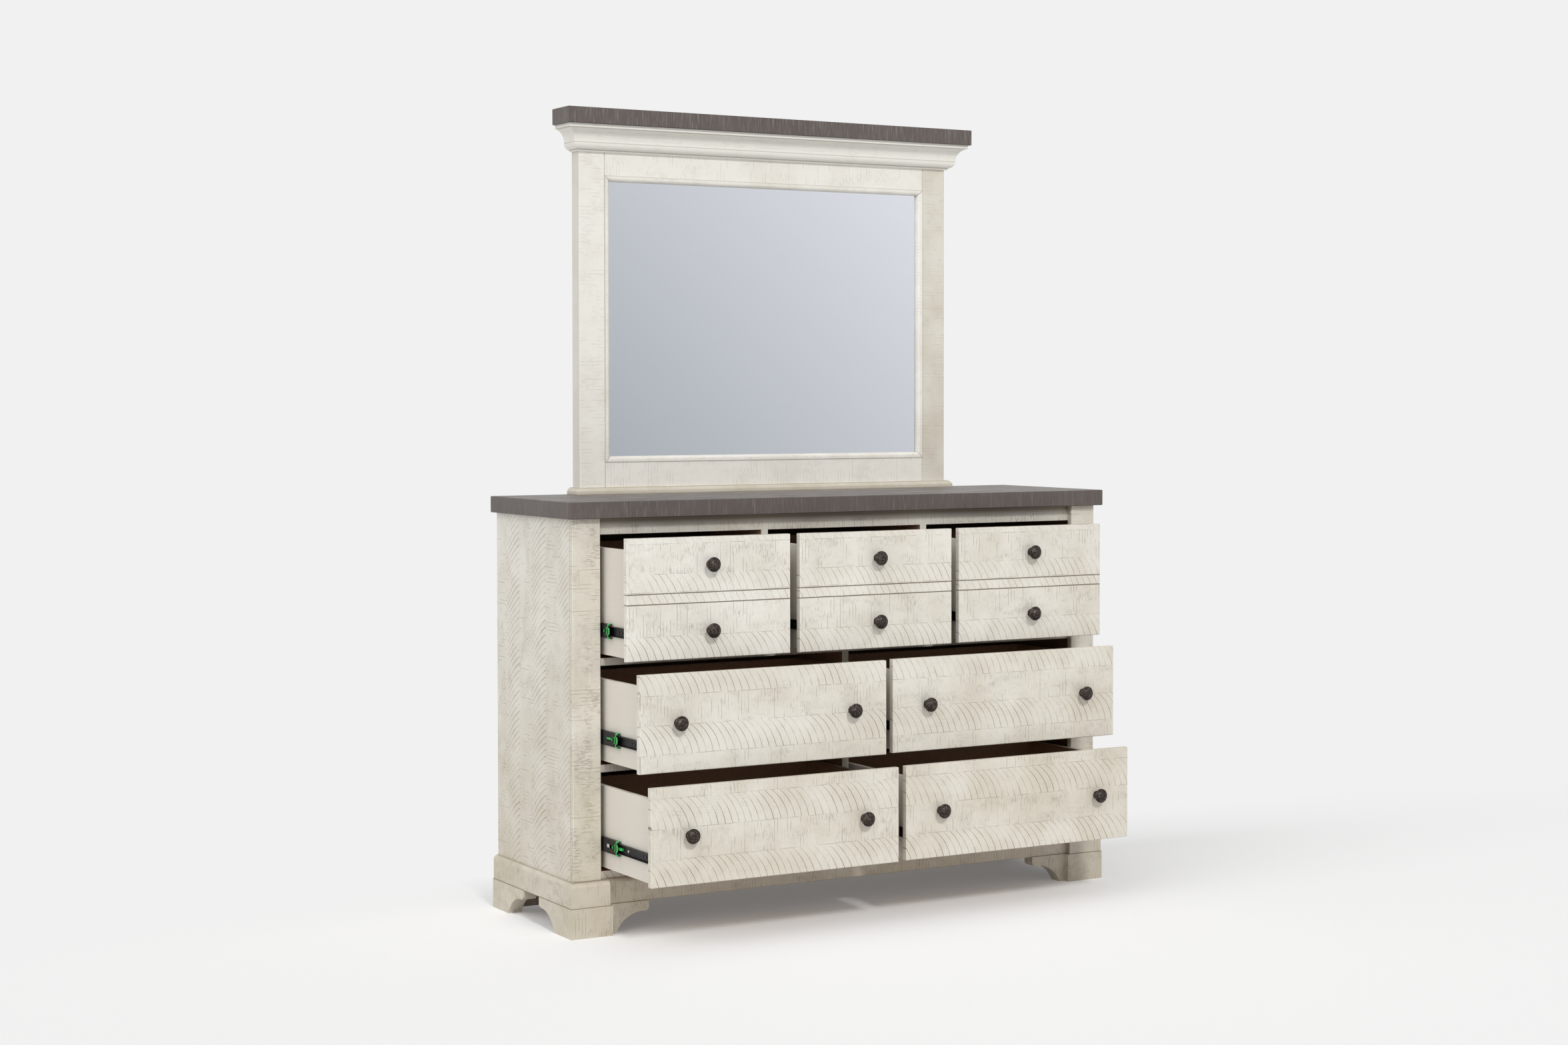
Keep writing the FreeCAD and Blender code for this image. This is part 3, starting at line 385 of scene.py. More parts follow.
def seam(tree, value, place, width, strength):
    """A soft dark line at one value of a coordinate: glaze in joints, painted shade on faces."""
    away = node(tree, "Math", {0: value, 1: place}, operation="SUBTRACT")
    away = node(tree, "Math", {0: away}, operation="ABSOLUTE")
    return node(tree, "MapRange", {"Value": away, "From Min": width * 0.4, "From Max": width,
                                   "To Min": strength, "To Max": 0.0})


def band_edges(tree, point, place, bands, strength):
    """Broken lines of glaze where the bands of saw marks start and end."""
    broken = mottle(tree, point, BREAKS, 0.42, 0.58, 0.0, strength)
    ends = sorted({end for band in bands for end in band[:2]})
    lines = strongest(tree, [seam(tree, place, end, FINE_JOINT, 1.0) for end in ends])
    return node(tree, "Math", {0: lines, 1: broken}, operation="MULTIPLY")


def mitre_seam(tree, places, middle, difference):
    """Slanted joints at the corners of an upright frame, from X = 0 and the middle of Z."""
    aside = node(tree, "Math", {0: places["x"]}, operation="ABSOLUTE")
    lift = node(tree, "Math", {0: places["z"], 1: middle}, operation="SUBTRACT")
    lift = node(tree, "Math", {0: lift}, operation="ABSOLUTE")
    slant = node(tree, "Math", {0: aside, 1: lift}, operation="SUBTRACT")
    return seam(tree, slant, difference, MITRE, 0.55)


def strongest(tree, sockets):
    """The largest of some values at each point."""
    found = sockets[0]
    for socket in sockets[1:]:
        found = node(tree, "Math", {0: found, 1: socket}, operation="MAXIMUM")
    return found


# Finishes

def aged_and_shaded_paint(tree, point, places, aged, drift):
    """The paint's colour, yellowed, and darker where a falloff of light is painted along a drift.
    """
    colours = choices()[0]
    age_and_shade = aged
    if drift:
        axis, start, end, last = drift
        age_and_shade = node(tree, "MapRange", {"Value": places[axis], "From Min": start, "From Max": end,
                                      "To Min": aged, "To Max": last})
    blotch = mottle(tree, point, BLOTCHES, 0.36, 0.66, -0.16, 0.16, 3.0)
    age_and_shade = node(tree, "Math", {0: blotch, 1: age_and_shade}, operation="ADD", use_clamp=True)
    return node(tree, "Mix", {0: age_and_shade, 6: colours.paint, 7: colours.paint_aged_and_shaded}, 2,
                data_type="RGBA")


def painted_wood(pieces, along, aged, run="x", side="z", bands=(), mark=0.90, edge=0.5,
                 stroke=0.44, seams=(), mitre=None, bare=(), drift=None):
    """Antique white milk paint, brushed over sawn poplar, with brown glaze wiped in.

    The eye gets a chalky, matt white that has gone a little yellow, with soft brown lines in
    each mark of saw, plane and brush.

    Strokes run along some axes. Bands of saw marks run along one axis and lie side by side
    on another. Mark, edge and stroke are the strengths of the marks, of the bands' edges
    and of the strokes. A seam is (axis, place, width, strength): glaze in a joint or a groove,
    or painted shade over a whole face or under the top. Past a bare (axis, place, sign), the
    board is brown. A drift (axis, start, end, aged) changes how yellow and how dark the paint
    is along an axis: yellowed paint with a painted falloff of light. A mitre (middle,
    difference) draws the joints of an upright frame.
    """
    colours, sizes = choices()
    material, tree, point, places = new_finish(f"Antique white milk paint, {pieces}")
    paint = aged_and_shaded_paint(tree, point, places, aged, drift)
    # Brush and plane leave strokes of 1 mm. They are drawn 1.6 mm wide so that they show.
    across = "".join(axis for axis in "xyz" if axis not in along)
    width, length = sizes.stroke_width, sizes.stroke_length
    apart = node(tree, "VectorMath", {0: point, 1: APART}, operation="ADD")
    fine = strokes(tree, point, along, width, length, sizes.patch)
    cross = strokes(tree, apart, across, width, length * 1.6, sizes.patch)
    ruled = ruled_lines(tree, point, places, along, sizes)
    # The yellower a board is, the more it is smudged with glaze.
    glazed_and_shaded = [mottle(tree, point, SMUDGES, 0.60, 0.80, 0.0, 0.06 + 0.3 * aged, 4.0)]
    relief = fine
    if bands:
        # The sides were cut with a larger saw than the fronts.
        saw = (sizes.saw_spacing, sizes.saw_radius)
        if run == "z":
            saw = (sizes.side_spacing, sizes.side_radius)
        arcs, inside = saw_marks(tree, point, places, run, side, bands, sizes.saw_line, *saw)
        # Strokes and ruled lines are faint in the bands.
        outside = node(tree, "Math", {0: inside, 1: -0.7, 2: 1.0}, operation="MULTIPLY_ADD")
        fine = node(tree, "Math", {0: fine, 1: outside}, operation="MULTIPLY")
        ruled = node(tree, "Math", {0: ruled, 1: outside}, operation="MULTIPLY")
        relief = strongest(tree, [fine, arcs])
        glazed_and_shaded.append(node(tree, "Math", {0: arcs, 1: mark}, operation="MULTIPLY"))
        glazed_and_shaded.append(band_edges(tree, point, places[side], bands, edge))
    strengths = (stroke, stroke * 0.4, min(0.54, stroke * 1.4))
    for lines, strength in zip((fine, cross, ruled), strengths):
        glazed_and_shaded.append(node(tree, "Math", {0: lines, 1: strength}, operation="MULTIPLY"))
    # Seams add glaze in joints and grooves, and painted shade on whole faces and under the top.
    glazed_and_shaded += [seam(tree, places[axis], *line) for axis, *line in seams]
    if mitre:
        glazed_and_shaded.append(mitre_seam(tree, places, *mitre))
    # The glaze colour paints both the glaze and that painted shade.
    shade = node(tree, "Mix", {0: strongest(tree, glazed_and_shaded), 6: paint, 7: colours.glaze}, 2,
                 data_type="RGBA")
    for axis, place, sign in bare:
        past = node(tree, "Math", {0: places[axis], 1: place},
                    operation="GREATER_THAN" if sign > 0 else "LESS_THAN")
        shade = node(tree, "Mix", {0: past, 6: shade, 7: colours.inside}, 2, data_type="RGBA")
    end_finish(tree, shade, 0.52, height=relief, depth=PAINT_RELIEF)
    return material


def stained_wood(name, along, rubbing, bands=(), top=0.0):
    """Warm grey stain, rubbed by hand into sawn poplar under a thin wax.

    The eye gets a dark board with a low sheen, cloudy, with dark pores and light ridges where
    it is rubbed. Bands of saw ridges run along X, only where the board faces up at its top.
    There the ridges are lighter: stain rubbed off them, and a painted highlight.
    """
    colours, sizes = choices()
    material, tree, point, places = new_finish(name)
    # Pores are 0.3 mm wide. They are drawn as wide as the strokes in the paint.
    pores = strokes(tree, point, along, sizes.stroke_width, sizes.stroke_length * 2.5,
                    sizes.patch * 3)
    relief = pores
    tone = mottle(tree, point, CLOUDS, 0.35, 0.65, 0.0, 0.30, 3.0)
    fine = node(tree, "Math", {0: pores, 1: 0.75}, operation="MULTIPLY")
    dark = strongest(tree, [tone, fine])
    shade = node(tree, "Mix", {0: dark, 6: colours.stain, 7: colours.stain_dark}, 2,
                 data_type="RGBA")
    rubbed = mottle(tree, point, stretched(along, RUBBED_RIDGE), 0.52, 0.72, 0.0, rubbing)
    shade = node(tree, "Mix", {0: rubbed, 6: shade, 7: colours.stain_worn_and_highlight}, 2,
                 data_type="RGBA")
    if bands:
        ridges = saw_marks(tree, point, places, "x", "y", bands, sizes.saw_line * 1.8,
                           sizes.top_spacing, sizes.saw_radius)[0]
        upper = node(tree, "Math", {0: places["z"], 1: top - SKIN}, operation="GREATER_THAN")
        ridges = node(tree, "Math", {0: ridges, 1: upper}, operation="MULTIPLY")
        relief = strongest(tree, [pores, ridges])
        # The saw ridges on the upper face are lighter: rubbed stain and a painted highlight.
        rubbed = node(tree, "Math", {0: ridges, 1: 0.6}, operation="MULTIPLY")
        shade = node(tree, "Mix", {0: rubbed, 6: shade, 7: colours.stain_worn_and_highlight}, 2,
                     data_type="RGBA")
    end_finish(tree, shade, 0.48, height=relief, depth=STAIN_RELIEF)
    return material


def quiet_finish(name, tone, grain, depth, roughness, metallic=0.0):
    """An even material, darker by a depth in a grain of these sizes along X, Y and Z."""
    material, tree, point, _ = new_finish(name)
    darker = (*((1 - depth) * channel for channel in tone[:3]), 1)
    there = mottle(tree, point, grain, 0.4, 0.75, detail=4.0)
    shade = node(tree, "Mix", {0: there, 6: tone, 7: darker}, 2, data_type="RGBA")
    end_finish(tree, shade, roughness, metallic)
    return material


def bare_pine(name, veins):
    """Pine board as it comes from the saw.

    The eye gets a dry, dull brown board with long quiet veins, a few millimetres apart.
    """
    return quiet_finish(name, choices()[0].raw, veins, 0.25, 0.6)


def beaten_bronze():
    """Oil-rubbed bronze, cast and beaten with a small hammer.

    The eye gets a nearly black brown, uneven in the dents, with a broad dull glint.
    """
    colours = choices()[0]
    material, tree, point, _ = new_finish("Oil-rubbed bronze, hammered")
    light = (*(min(1, 5.0 * channel) for channel in colours.bronze[:3]), 1)
    worn = mottle(tree, point, BURNISH, 0.45, 0.7, 0.0, 0.6)
    shade = node(tree, "Mix", {0: worn, 6: colours.bronze, 7: light}, 2, data_type="RGBA")
    dents = node(tree, "TexVoronoi", {"Vector": point, "Scale": DENTS, "Smoothness": 0.6},
                 "Distance", feature="SMOOTH_F1")
    end_finish(tree, shade, 0.46, 0.85, dents, DENT_RELIEF)
    return material


def mirror_silver():
    """Float glass, silvered on its back.

    The eye gets a clean cool reflection; its colour is a painted reflection, darker towards
    its lower left.
    """
    colours = choices()[0]
    material, tree, _, places = new_finish("Silvered float glass")
    low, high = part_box("mirror_glass")
    # A painted reflection: darker at the lower left, lighter at the upper right.
    along = node(tree, "MapRange", {"Value": places["x"], "From Min": low[0],
                                    "From Max": high[0], "To Max": 0.54})
    upward = node(tree, "MapRange", {"Value": places["z"], "From Min": low[2],
                                     "From Max": high[2], "To Max": 0.46})
    both = node(tree, "Math", {0: along, 1: upward}, operation="ADD")
    shade = node(tree, "Mix", {0: both, 6: colours.painted_reflection_low, 7: colours.painted_reflection_high}, 2,
                 data_type="RGBA")
    end_finish(tree, shade, 0.04, 1.0)
    return material


# Pieces

def corners_of(name):
    """Two opposite corners of a node, as vectors."""
    return [Vector(corner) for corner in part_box(name)]


def dress(material, *names):
    """Gives nodes of the frame their finish."""
    for name in names:
        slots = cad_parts[name].data.materials
        slots.clear()
        slots.append(material)


def new_object(name, form, materials):
    """Turns a bmesh into an object in the scene."""
    mesh = bpy.data.meshes.new(name)
    form.to_mesh(mesh)
    form.free()
    for material in materials:
        mesh.materials.append(material)
    made = bpy.data.objects.new(name, mesh)
    bpy.context.scene.collection.objects.link(made)
    return made


def add_piece(name, form, materials, body):
    """Turns a bmesh into an object that moves with a body of the frame."""
    piece = new_object(name, form, materials)
    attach(piece, body)
    return piece


def round_edges(form, edges, rounding):
    """Rounds edges, and returns the new faces."""
    return bmesh.ops.bevel(form, geom=edges, offset=rounding, segments=2, profile=0.5,
                           affect="EDGES", material=-1)["faces"]


def add_board(form, low, high, rounding):
    """A board between two corners, with rounded edges. Returns its faces."""
    low, high = Vector(low), Vector(high)
    made = bmesh.ops.create_cube(form, size=1.0)
    place = Matrix.Translation((low + high) / 2) @ Matrix.Diagonal((*(high - low), 1))
    bmesh.ops.transform(form, matrix=place, verts=made["verts"])
    edges = list({edge for vert in made["verts"] for edge in vert.link_edges})
    corners = {vert for face in round_edges(form, edges, rounding) for vert in face.verts}
    return list({face for vert in corners for face in vert.link_faces})


def add_disc(form, centre, axis, radius, thickness, rounding):
    """A low round head that stands on centre and faces along the axis."""
    centre, outward = Vector(centre), Vector(axis)
    turn = Vector((0, 0, 1)).rotation_difference(outward).to_matrix().to_4x4()
    place = Matrix.Translation(centre + outward * thickness / 2) @ turn
    made = bmesh.ops.create_cone(form, cap_ends=True, segments=20, radius1=radius,
                                 radius2=radius, depth=thickness, matrix=place)
    top = [edge for edge in {e for v in made["verts"] for e in v.link_edges}
           if all((v.co - centre).dot(outward) > thickness * 0.9 for v in edge.verts)]
    round_edges(form, top, rounding)


def add_plate(form, outline, place, way, thickness):
    """A flat plate from the upper half of its outline, which lies in the YZ plane."""
    lower = [(back, -up) for back, up in reversed(outline) if up]
    verts = [form.verts.new((place.x, place.y + back, place.z + up))
             for back, up in (*outline, *lower)]
    face = form.faces.new(verts)
    made = bmesh.ops.extrude_face_region(form, geom=[face])
    moved = [item for item in made["geom"] if isinstance(item, bmesh.types.BMVert)]
    bmesh.ops.translate(form, verts=moved, vec=(way * thickness, 0, 0))
    bmesh.ops.recalc_face_normals(form, faces=form.faces)


# Operators

class DRESSER_OT_case(bpy.types.Operator):
    """Paint the case, its plinth and feet, and stain the top"""
    bl_idname = "dresser.case"
    bl_label = "Finish case"

    def execute(self, context):
        self.sides()
        self.front()
        self.base()
        low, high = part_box("case_top")
        bands = placed(TOP_BANDS, low[1])
        dress(stained_wood("Grey stained poplar, top", "z", 0.12, bands, high[2]), "case_top")
        dress(bare_pine("Bare pine back board", UPRIGHT_VEINS), "back_panel")
        dress(bare_pine("Bare pine battens", LEVEL_VEINS), "slide_spacers")
        return {"FINISHED"}

    def sides(self):
        """Side panels with three columns of arcs, and the stiles at their front edges."""
        low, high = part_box("front_stiles")
        top = high[2]
        bands = placed(SIDE_BANDS, low[1])
        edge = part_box("left_side_panel")[0][1]
        for label, way in (("left", 1), ("right", -1)):
            low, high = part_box(f"{label}_side_panel")
            inner = high[0] if way > 0 else low[0]
            # Yellowed paint with a painted falloff of light: darker low down on the side panels.
            paint = painted_wood(f"{label} side", "xy", 0.70, "z", "y", bands, 1.0, 0.15, 0.42,
                                 [("y", edge, BOARD_EDGE, 0.35)],
                                 bare=[("x", inner - way * SKIN, way)],
                                 drift=("z", low[2], top, 0.26))
            dress(paint, f"{label}_side_panel")
        # Yellowed paint with painted shade: the stiles darken towards the bottom.
        dress(painted_wood("stiles", "xy", 0.85, stroke=0.55, drift=STILE_DRIFT,
                           seams=[("y", edge, BOARD_EDGE, 0.5)]), "front_stiles")

    def front(self):
        """Rails and partitions, white in front only, and the edge of the bottom board."""
        edge_only = [("y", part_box("top_front_rail")[0][1] + SKIN, 1)]
        # A painted shadow of the top darkens the upper rail just under it.
        top_shadow = ("z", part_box("top_front_rail")[1][2], TOP_SHADE, 0.85)
        paint = painted_wood("front edges", "z", 0.45, stroke=0.5, seams=[top_shadow],
                             bare=edge_only)
        dress(paint, "top_front_rail", "drawer_rails", "drawer_partitions")
        low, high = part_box("case_bottom")
        bands = [(low[2], high[2], high[2] + EDGE_RISE, 1.0)]
        dress(painted_wood("bottom edge", "z", 0.5, bands=bands, bare=edge_only),
              "case_bottom")

    def base(self):
        """Plinth and feet: joints dark with glaze, and painted shade on the front faces."""
        foot_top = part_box("front_feet")[1][2]
        block_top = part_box("plinth_corner_blocks")[1][2]
        low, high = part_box("plinth_front_rail")
        glaze = [("z", foot_top, SOFT_JOINT, 0.65), ("z", block_top, BOARD_EDGE, 0.5)]
        glaze += [("x", place, FINE_JOINT, 0.5) for place in (low[0], high[0])]
        # Painted shade on the front faces of the corner blocks and feet joins the glaze in the
        # joints.
        glaze += [("y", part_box(name)[0][1], FACE_SHADE, 0.11)
                  for name in ("plinth_corner_blocks", "front_feet")]
        paint = painted_wood("plinth and feet", "z", 0.88, stroke=0.6, seams=glaze)
        dress(paint, "plinth_corner_blocks", "plinth_front_rail", "plinth_rails", "front_feet",
              "rear_feet")


class DRESSER_OT_fronts(bpy.types.Operator):
    """Paint the drawer fronts, each row with its own bands of saw marks"""
    bl_idname = "dresser.fronts"
    bl_label = "Finish drawer fronts"

    def execute(self, context):
        for row, bands in FRONT_BANDS.items():
            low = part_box(f"{row}_left_drawer_front")[0]
            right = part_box(f"{row}_right_drawer_front")[1][0]
            # Yellowed paint with a painted falloff of light: darker to the right and in lower
            # rows.
            first, last = FRONT_AGE_AND_FALLOFF[row]
            grooves = [("z", low[2] + place, GROOVE, 0.85) for place in FRONT_GROOVES[row]]
            paint = painted_wood(f"{row} drawer fronts", "z", first,
                                 bands=placed(bands, low[2]), seams=grooves,
                                 drift=("x", low[0], right, last))
            dress(paint, *(f"{name}_drawer_front" for name in DRAWERS
                           if name.startswith(row)))
        return {"FINISHED"}


class DRESSER_OT_boxes(bpy.types.Operator):
    """Build the drawer boxes, light outside and brown inside"""
    bl_idname = "dresser.boxes"
    bl_label = "Build drawer boxes"

    def execute(self, context):
        colours, sizes = choices()
        # Lacquer hides the veins outside, which look even and pale. The brown stain lets them
        # show faintly inside.
        finishes = [quiet_finish("Pale lacquered poplar", colours.box, LEVEL_VEINS, 0.03, 0.6),
                    quiet_finish("Brown stained poplar", colours.inside, LEVEL_VEINS, 0.2, 0.5)]
        for name in DRAWERS:
            low, high = corners_of(f"{name}_drawer_box")
            middle = (low + high) / 2
            form = bmesh.new()
            for start, end in self.boards(low, high, sizes):
                faces = add_board(form, start, end, sizes.board_round)
                is_floor = (Vector(end) - Vector(start)).z < sizes.box_board
                for face in faces:
                    away = face.calc_center_median() - middle
                    away.z = 0
                    faces_in = face.normal.dot(away) < 0 and abs(face.normal.z) < 0.5
                    face.material_index = 1 if faces_in or is_floor else 0
            box = add_piece(f"{name}_box_boards", form, finishes, f"{name}_drawer")
            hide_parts(f"{name}_drawer_box")
        return {"FINISHED"}

    def boards(self, low, high, sizes):
        """The corners of a box's two sides, its inner front, its back and its floor."""
        board = sizes.box_board
        left, right = low.x + board, high.x - board
        front, back = low.y + board, high.y - board
        floor = low.z + sizes.box_floor_rise
        return ((low, (left, high.y, high.z)),
                ((right, low.y, low.z), high),
                ((left, low.y, low.z), (right, front, high.z)),
                ((left, back, low.z), (right, high.y, high.z)),
                ((left, front, floor), (right, back, floor + sizes.box_floor)))


class DRESSER_OT_knobs(bpy.types.Operator):
    """Turn the beaten mushroom knobs"""
    bl_idname = "dresser.knobs"
    bl_label = "Turn knobs"

    def execute(self, context):
        sizes = choices()[1]
        bronze = beaten_bronze()
        for name in DRAWERS:
            low, high = corners_of(f"{name}_drawer_knobs")
            radius = min(high.x - low.x, high.z - low.z) / 2
            first = Vector((low.x + radius, high.y, low.z + radius))
            last = Vector((high.x - radius, high.y, high.z - radius))
            form = bmesh.new()
            for place in (first, last):
                self.turn(form, place, radius, high.y - low.y, sizes)
            bmesh.ops.recalc_face_normals(form, faces=form.faces)
            for face in form.faces:
                face.smooth = True
            knobs = add_piece(f"{name}_turned_knobs", form, [bronze], f"{name}_drawer")
            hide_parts(f"{name}_drawer_knobs")
        return {"FINISHED"}

    def turn(self, form, place, radius, length, sizes):
        """One knob: a thick base, a neck, a ring and a domed head inside the ring."""
        profile = [(sizes.knob_base * share, height) for share, height in KNOB_BASE]
        profile += [(sizes.knob_neck * share, height) for share, height in KNOB_NECK]
        profile += [(radius * share, sizes.knob_rim + height) for share, height in KNOB_HEAD]
        inner, foot = profile[-1]
        for step in range(1, DOME_STEPS + 1):
            angle = math.pi / 2 * step / DOME_STEPS
            profile.append((inner * math.cos(angle), foot + (length - foot) * math.sin(angle)))
        verts = [form.verts.new(place + Vector((across, -along, 0)))
                 for across, along in profile]
        edges = [form.edges.new(pair) for pair in zip(verts, verts[1:])]
        bmesh.ops.spin(form, geom=verts + edges, axis=(0, 1, 0), cent=place,
                       angle=2 * math.pi, steps=KNOB_STEPS, use_merge=True)
        bmesh.ops.remove_doubles(form, verts=form.verts, dist=1e-6)


class DRESSER_OT_slides(bpy.types.Operator):
    """Fit the plastic claws and levers, the ball cages' ends and the screws of the slides"""
    bl_idname = "dresser.slides"
    bl_label = "Fit slides"

    def execute(self, context):
        colours, sizes = choices()
        # Electro-coated steel looks even and black, with a low sheen along its rolled edges.
        steel = quiet_finish("Black electro-coated steel", colours.steel, COATING, 0.3, 0.38,
                             0.6)
        # Dark zinc gives the screws a dull grey glint on the black steel.
        self.screw = quiet_finish("Dark zinc plated screws", colours.screw, COATING, 0.3, 0.35,
                                  0.9)
        # Nickel is the one bright metal here: small white glints in the dark slides.
        self.bright = quiet_finish("Bright nickel plated steel", colours.bright, COATING, 0.15,
                                   0.30, 0.5)
        # Moulded acetal is a strong even green with a waxy sheen.
        self.plastic = quiet_finish("Green moulded acetal", colours.plastic, COATING, 0.12,
                                    0.35)
        dress(steel, "cabinet_slide_members")
        for name in DRAWERS:
            dress(steel, f"{name}_drawer_slide_members", f"{name}_middle_slide_members")
            self.fit_middle(name, sizes)
            self.fit_drawer(name, sizes)
        return {"FINISHED"}

    def fit_middle(self, name, sizes):
        """A claw on each middle member, and the end of the ball cage in its window."""
        low, high = corners_of(f"{name}_middle_slide_members")
        claws, cages = bmesh.new(), bmesh.new()
        front, middle = low.y + sizes.claw_reach, (low.z + high.z) / 2
        # A cage comes forward in its slide by a quarter of what the drawer still has to go.
        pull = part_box("front_stiles")[0][1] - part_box(f"{name}_drawer_front")[1][1]
        cage = front + CAGE_PLACE + (FAR_PULL - pull) / 4
        for x, way in ((low.x, 1), (high.x, -1)):
            outside = x - way * 2 * COVER
            for outline in (CLAW_BOW, CLAW_SPRING):
                add_plate(claws, outline, Vector((outside, front, middle)), way,
                          sizes.claw_plate + COVER)
            for lift in CLAW_LIPS:
                self.fit_block(claws, (outside, x + way * sizes.claw_wrap),
                               [front + place for place in CLAW_LIP_ENDS],
                               (middle + lift, middle + lift + CLAW_LIP), LIP_ROUND)
            self.fit_block(claws, (outside, x + way * CLAW_LIP),
                           [front + place for place in CLAW_TAB],
                           (middle - CLAW_TAB_HALF, middle + CLAW_TAB_HALF), LIP_ROUND)
            self.fit_block(cages, [x + way * depth for depth in CAGE_DEPTHS],
                           (cage, cage + CAGE_LENGTH), (middle - CAGE_HALF, middle + CAGE_HALF),
                           CAGE_ROUND)
        add_piece(f"{name}_slide_claws", claws, [self.plastic], f"{name}_slides")
        add_piece(f"{name}_slide_cage_ends", cages, [self.bright], f"{name}_slides")

    def fit_block(self, form, across, along, upward, rounding):
        """A small block between two places on each axis, the X ones in any order."""
        left, right = sorted(across)
        add_board(form, (left, along[0], upward[0]), (right, along[1], upward[1]), rounding)

    def fit_drawer(self, name, sizes):
        """A release lever, a rivet and two screws on each drawer member."""
        low, high = corners_of(f"{name}_drawer_slide_members")
        levers, screws, rivets = bmesh.new(), bmesh.new(), bmesh.new()
        middle = (low.z + high.z) / 2
        half = sizes.lever_height / 2 + SKIN
        start = low.y + sizes.lever_start
        for x, way in ((low.x, 1), (high.x, -1)):
            web = x + way * sizes.slide_web
            self.fit_block(levers, (x - way * COVER, web),
                           (start - SKIN, start + sizes.lever_length + SKIN),
                           (middle - half, middle + half), LEVER_ROUND)
            for back in SCREW_PLACES:
                add_disc(screws, (web, low.y + back, middle), (-way, 0, 0), sizes.screw_head,
                         *SLIDE_SCREW)
            add_disc(rivets, (web, low.y + RIVET_PLACE, middle), (-way, 0, 0), RIVET_RADIUS,
                     *RIVET)
        for part, form, finish in (("levers", levers, self.plastic),
                                   ("screws", screws, self.screw),
                                   ("rivets", rivets, self.bright)):
            add_piece(f"{name}_slide_{part}", form, [finish], f"{name}_drawer")


class DRESSER_OT_mirror(bpy.types.Operator):
    """Paint the mirror's frame and crown, stain its cap and silver its glass"""
    bl_idname = "dresser.mirror"
    bl_label = "Finish mirror"

    def execute(self, context):
        self.stiles_and_rails()
        self.mouldings()
        dress(stained_wood("Grey stained poplar, cap", "z", 0.22), "mirror_cap")
        dress(mirror_silver(), "mirror_glass")
        dress(bare_pine("Bare pine backboard", UPRIGHT_VEINS), "mirror_backboard",
              "mirror_supports")
        self.screws(context.scene.dresser_sizes, context.scene.dresser_colours.zinc)
        return {"FINISHED"}

    def stiles_and_rails(self):
        """Stiles and rails: joints dark with glaze, and painted shade on the stiles' outer sides.
        """
        low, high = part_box("mirror_glass")
        stile_low, stile_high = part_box("mirror_stiles")
        joints = [("x", place, FINE_JOINT, 0.45) for place in (low[0], high[0])]
        # Painted shade darkens the stiles' outer side faces.
        dull = [("x", place, FACE_SHADE, 0.22) for place in (stile_low[0], stile_high[0])]
        # Yellowed paint with a painted falloff of light, darker to the right and downward
        dress(painted_wood("mirror stiles", "xy", 0.0, stroke=0.18, seams=joints + dull,
                           drift=("x", low[0], high[0], 0.55)), "mirror_stiles")
        dress(painted_wood("mirror rails", "z", 0.0, stroke=0.20, seams=joints,
                           drift=("z", high[2] + RAIL_RISE, low[2], 0.02)), "mirror_rails")

    def mouldings(self):
        """Crown, base moulding and bead, with lines of glaze and painted shade along profiles."""
        low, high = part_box("crown_moulding")
        # Glaze and painted shade at the steps of the crown's profile
        lines = [("z", high[2] - (high[2] - low[2]) * share, GROOVE, 0.40)
                 for share in CROWN_LINE_SHARES]
        dress(painted_wood("crown", "x", -0.10, stroke=0.12, seams=lines), "crown_moulding")
        low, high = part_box("mirror_base_moulding")
        # Glaze and a painted shadow along the base moulding's edges
        lines = [("z", place, BOARD_EDGE, 0.5)
                 for place in (low[2] + MOULDING_INSET, high[2] - MOULDING_INSET)]
        dress(painted_wood("base moulding", "x", 0.85, stroke=0.15, seams=lines),
              "mirror_base_moulding")
        low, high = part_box("mirror_bead")
        lines = [(axis, place, SOFT_JOINT, 0.3) for axis, number in (("x", 0), ("z", 2))
                 for place in (low[number] + BEAD_INSET, high[number] - BEAD_INSET)]
        middle = (low[2] + high[2]) / 2
        mitre = (middle, high[0] - (high[2] - middle))
        dress(painted_wood("bead", "xz", 0.1, stroke=0.15, seams=lines, mitre=mitre),
              "mirror_bead")

    def screws(self, sizes, zinc):
        """Screws through the two battens that hold the mirror up."""
        form = bmesh.new()
        low, high = corners_of("mirror_supports")
        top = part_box("case_top")[1][2]
        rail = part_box("mirror_rails")[1][2]
        lowest, below, above, highest = SUPPORT_PLACES
        for x in (low.x + SUPPORT_WIDTH / 2, high.x - SUPPORT_WIDTH / 2):
            for z in (low.z + lowest, top - below, top + above, rail - highest):
                add_disc(form, (x, high.y - SCREW_SINK, z), (0, 1, 0), sizes.screw_head * 1.3,
                         *SUPPORT_SCREW)
        # Bright zinc gives these screws a light grey glint on the dull pine.
        finish = quiet_finish("Bright zinc plated screws", zinc, COATING, 0.2, 0.35, 0.9)
        add_piece("support_screws", form, [finish], "case")


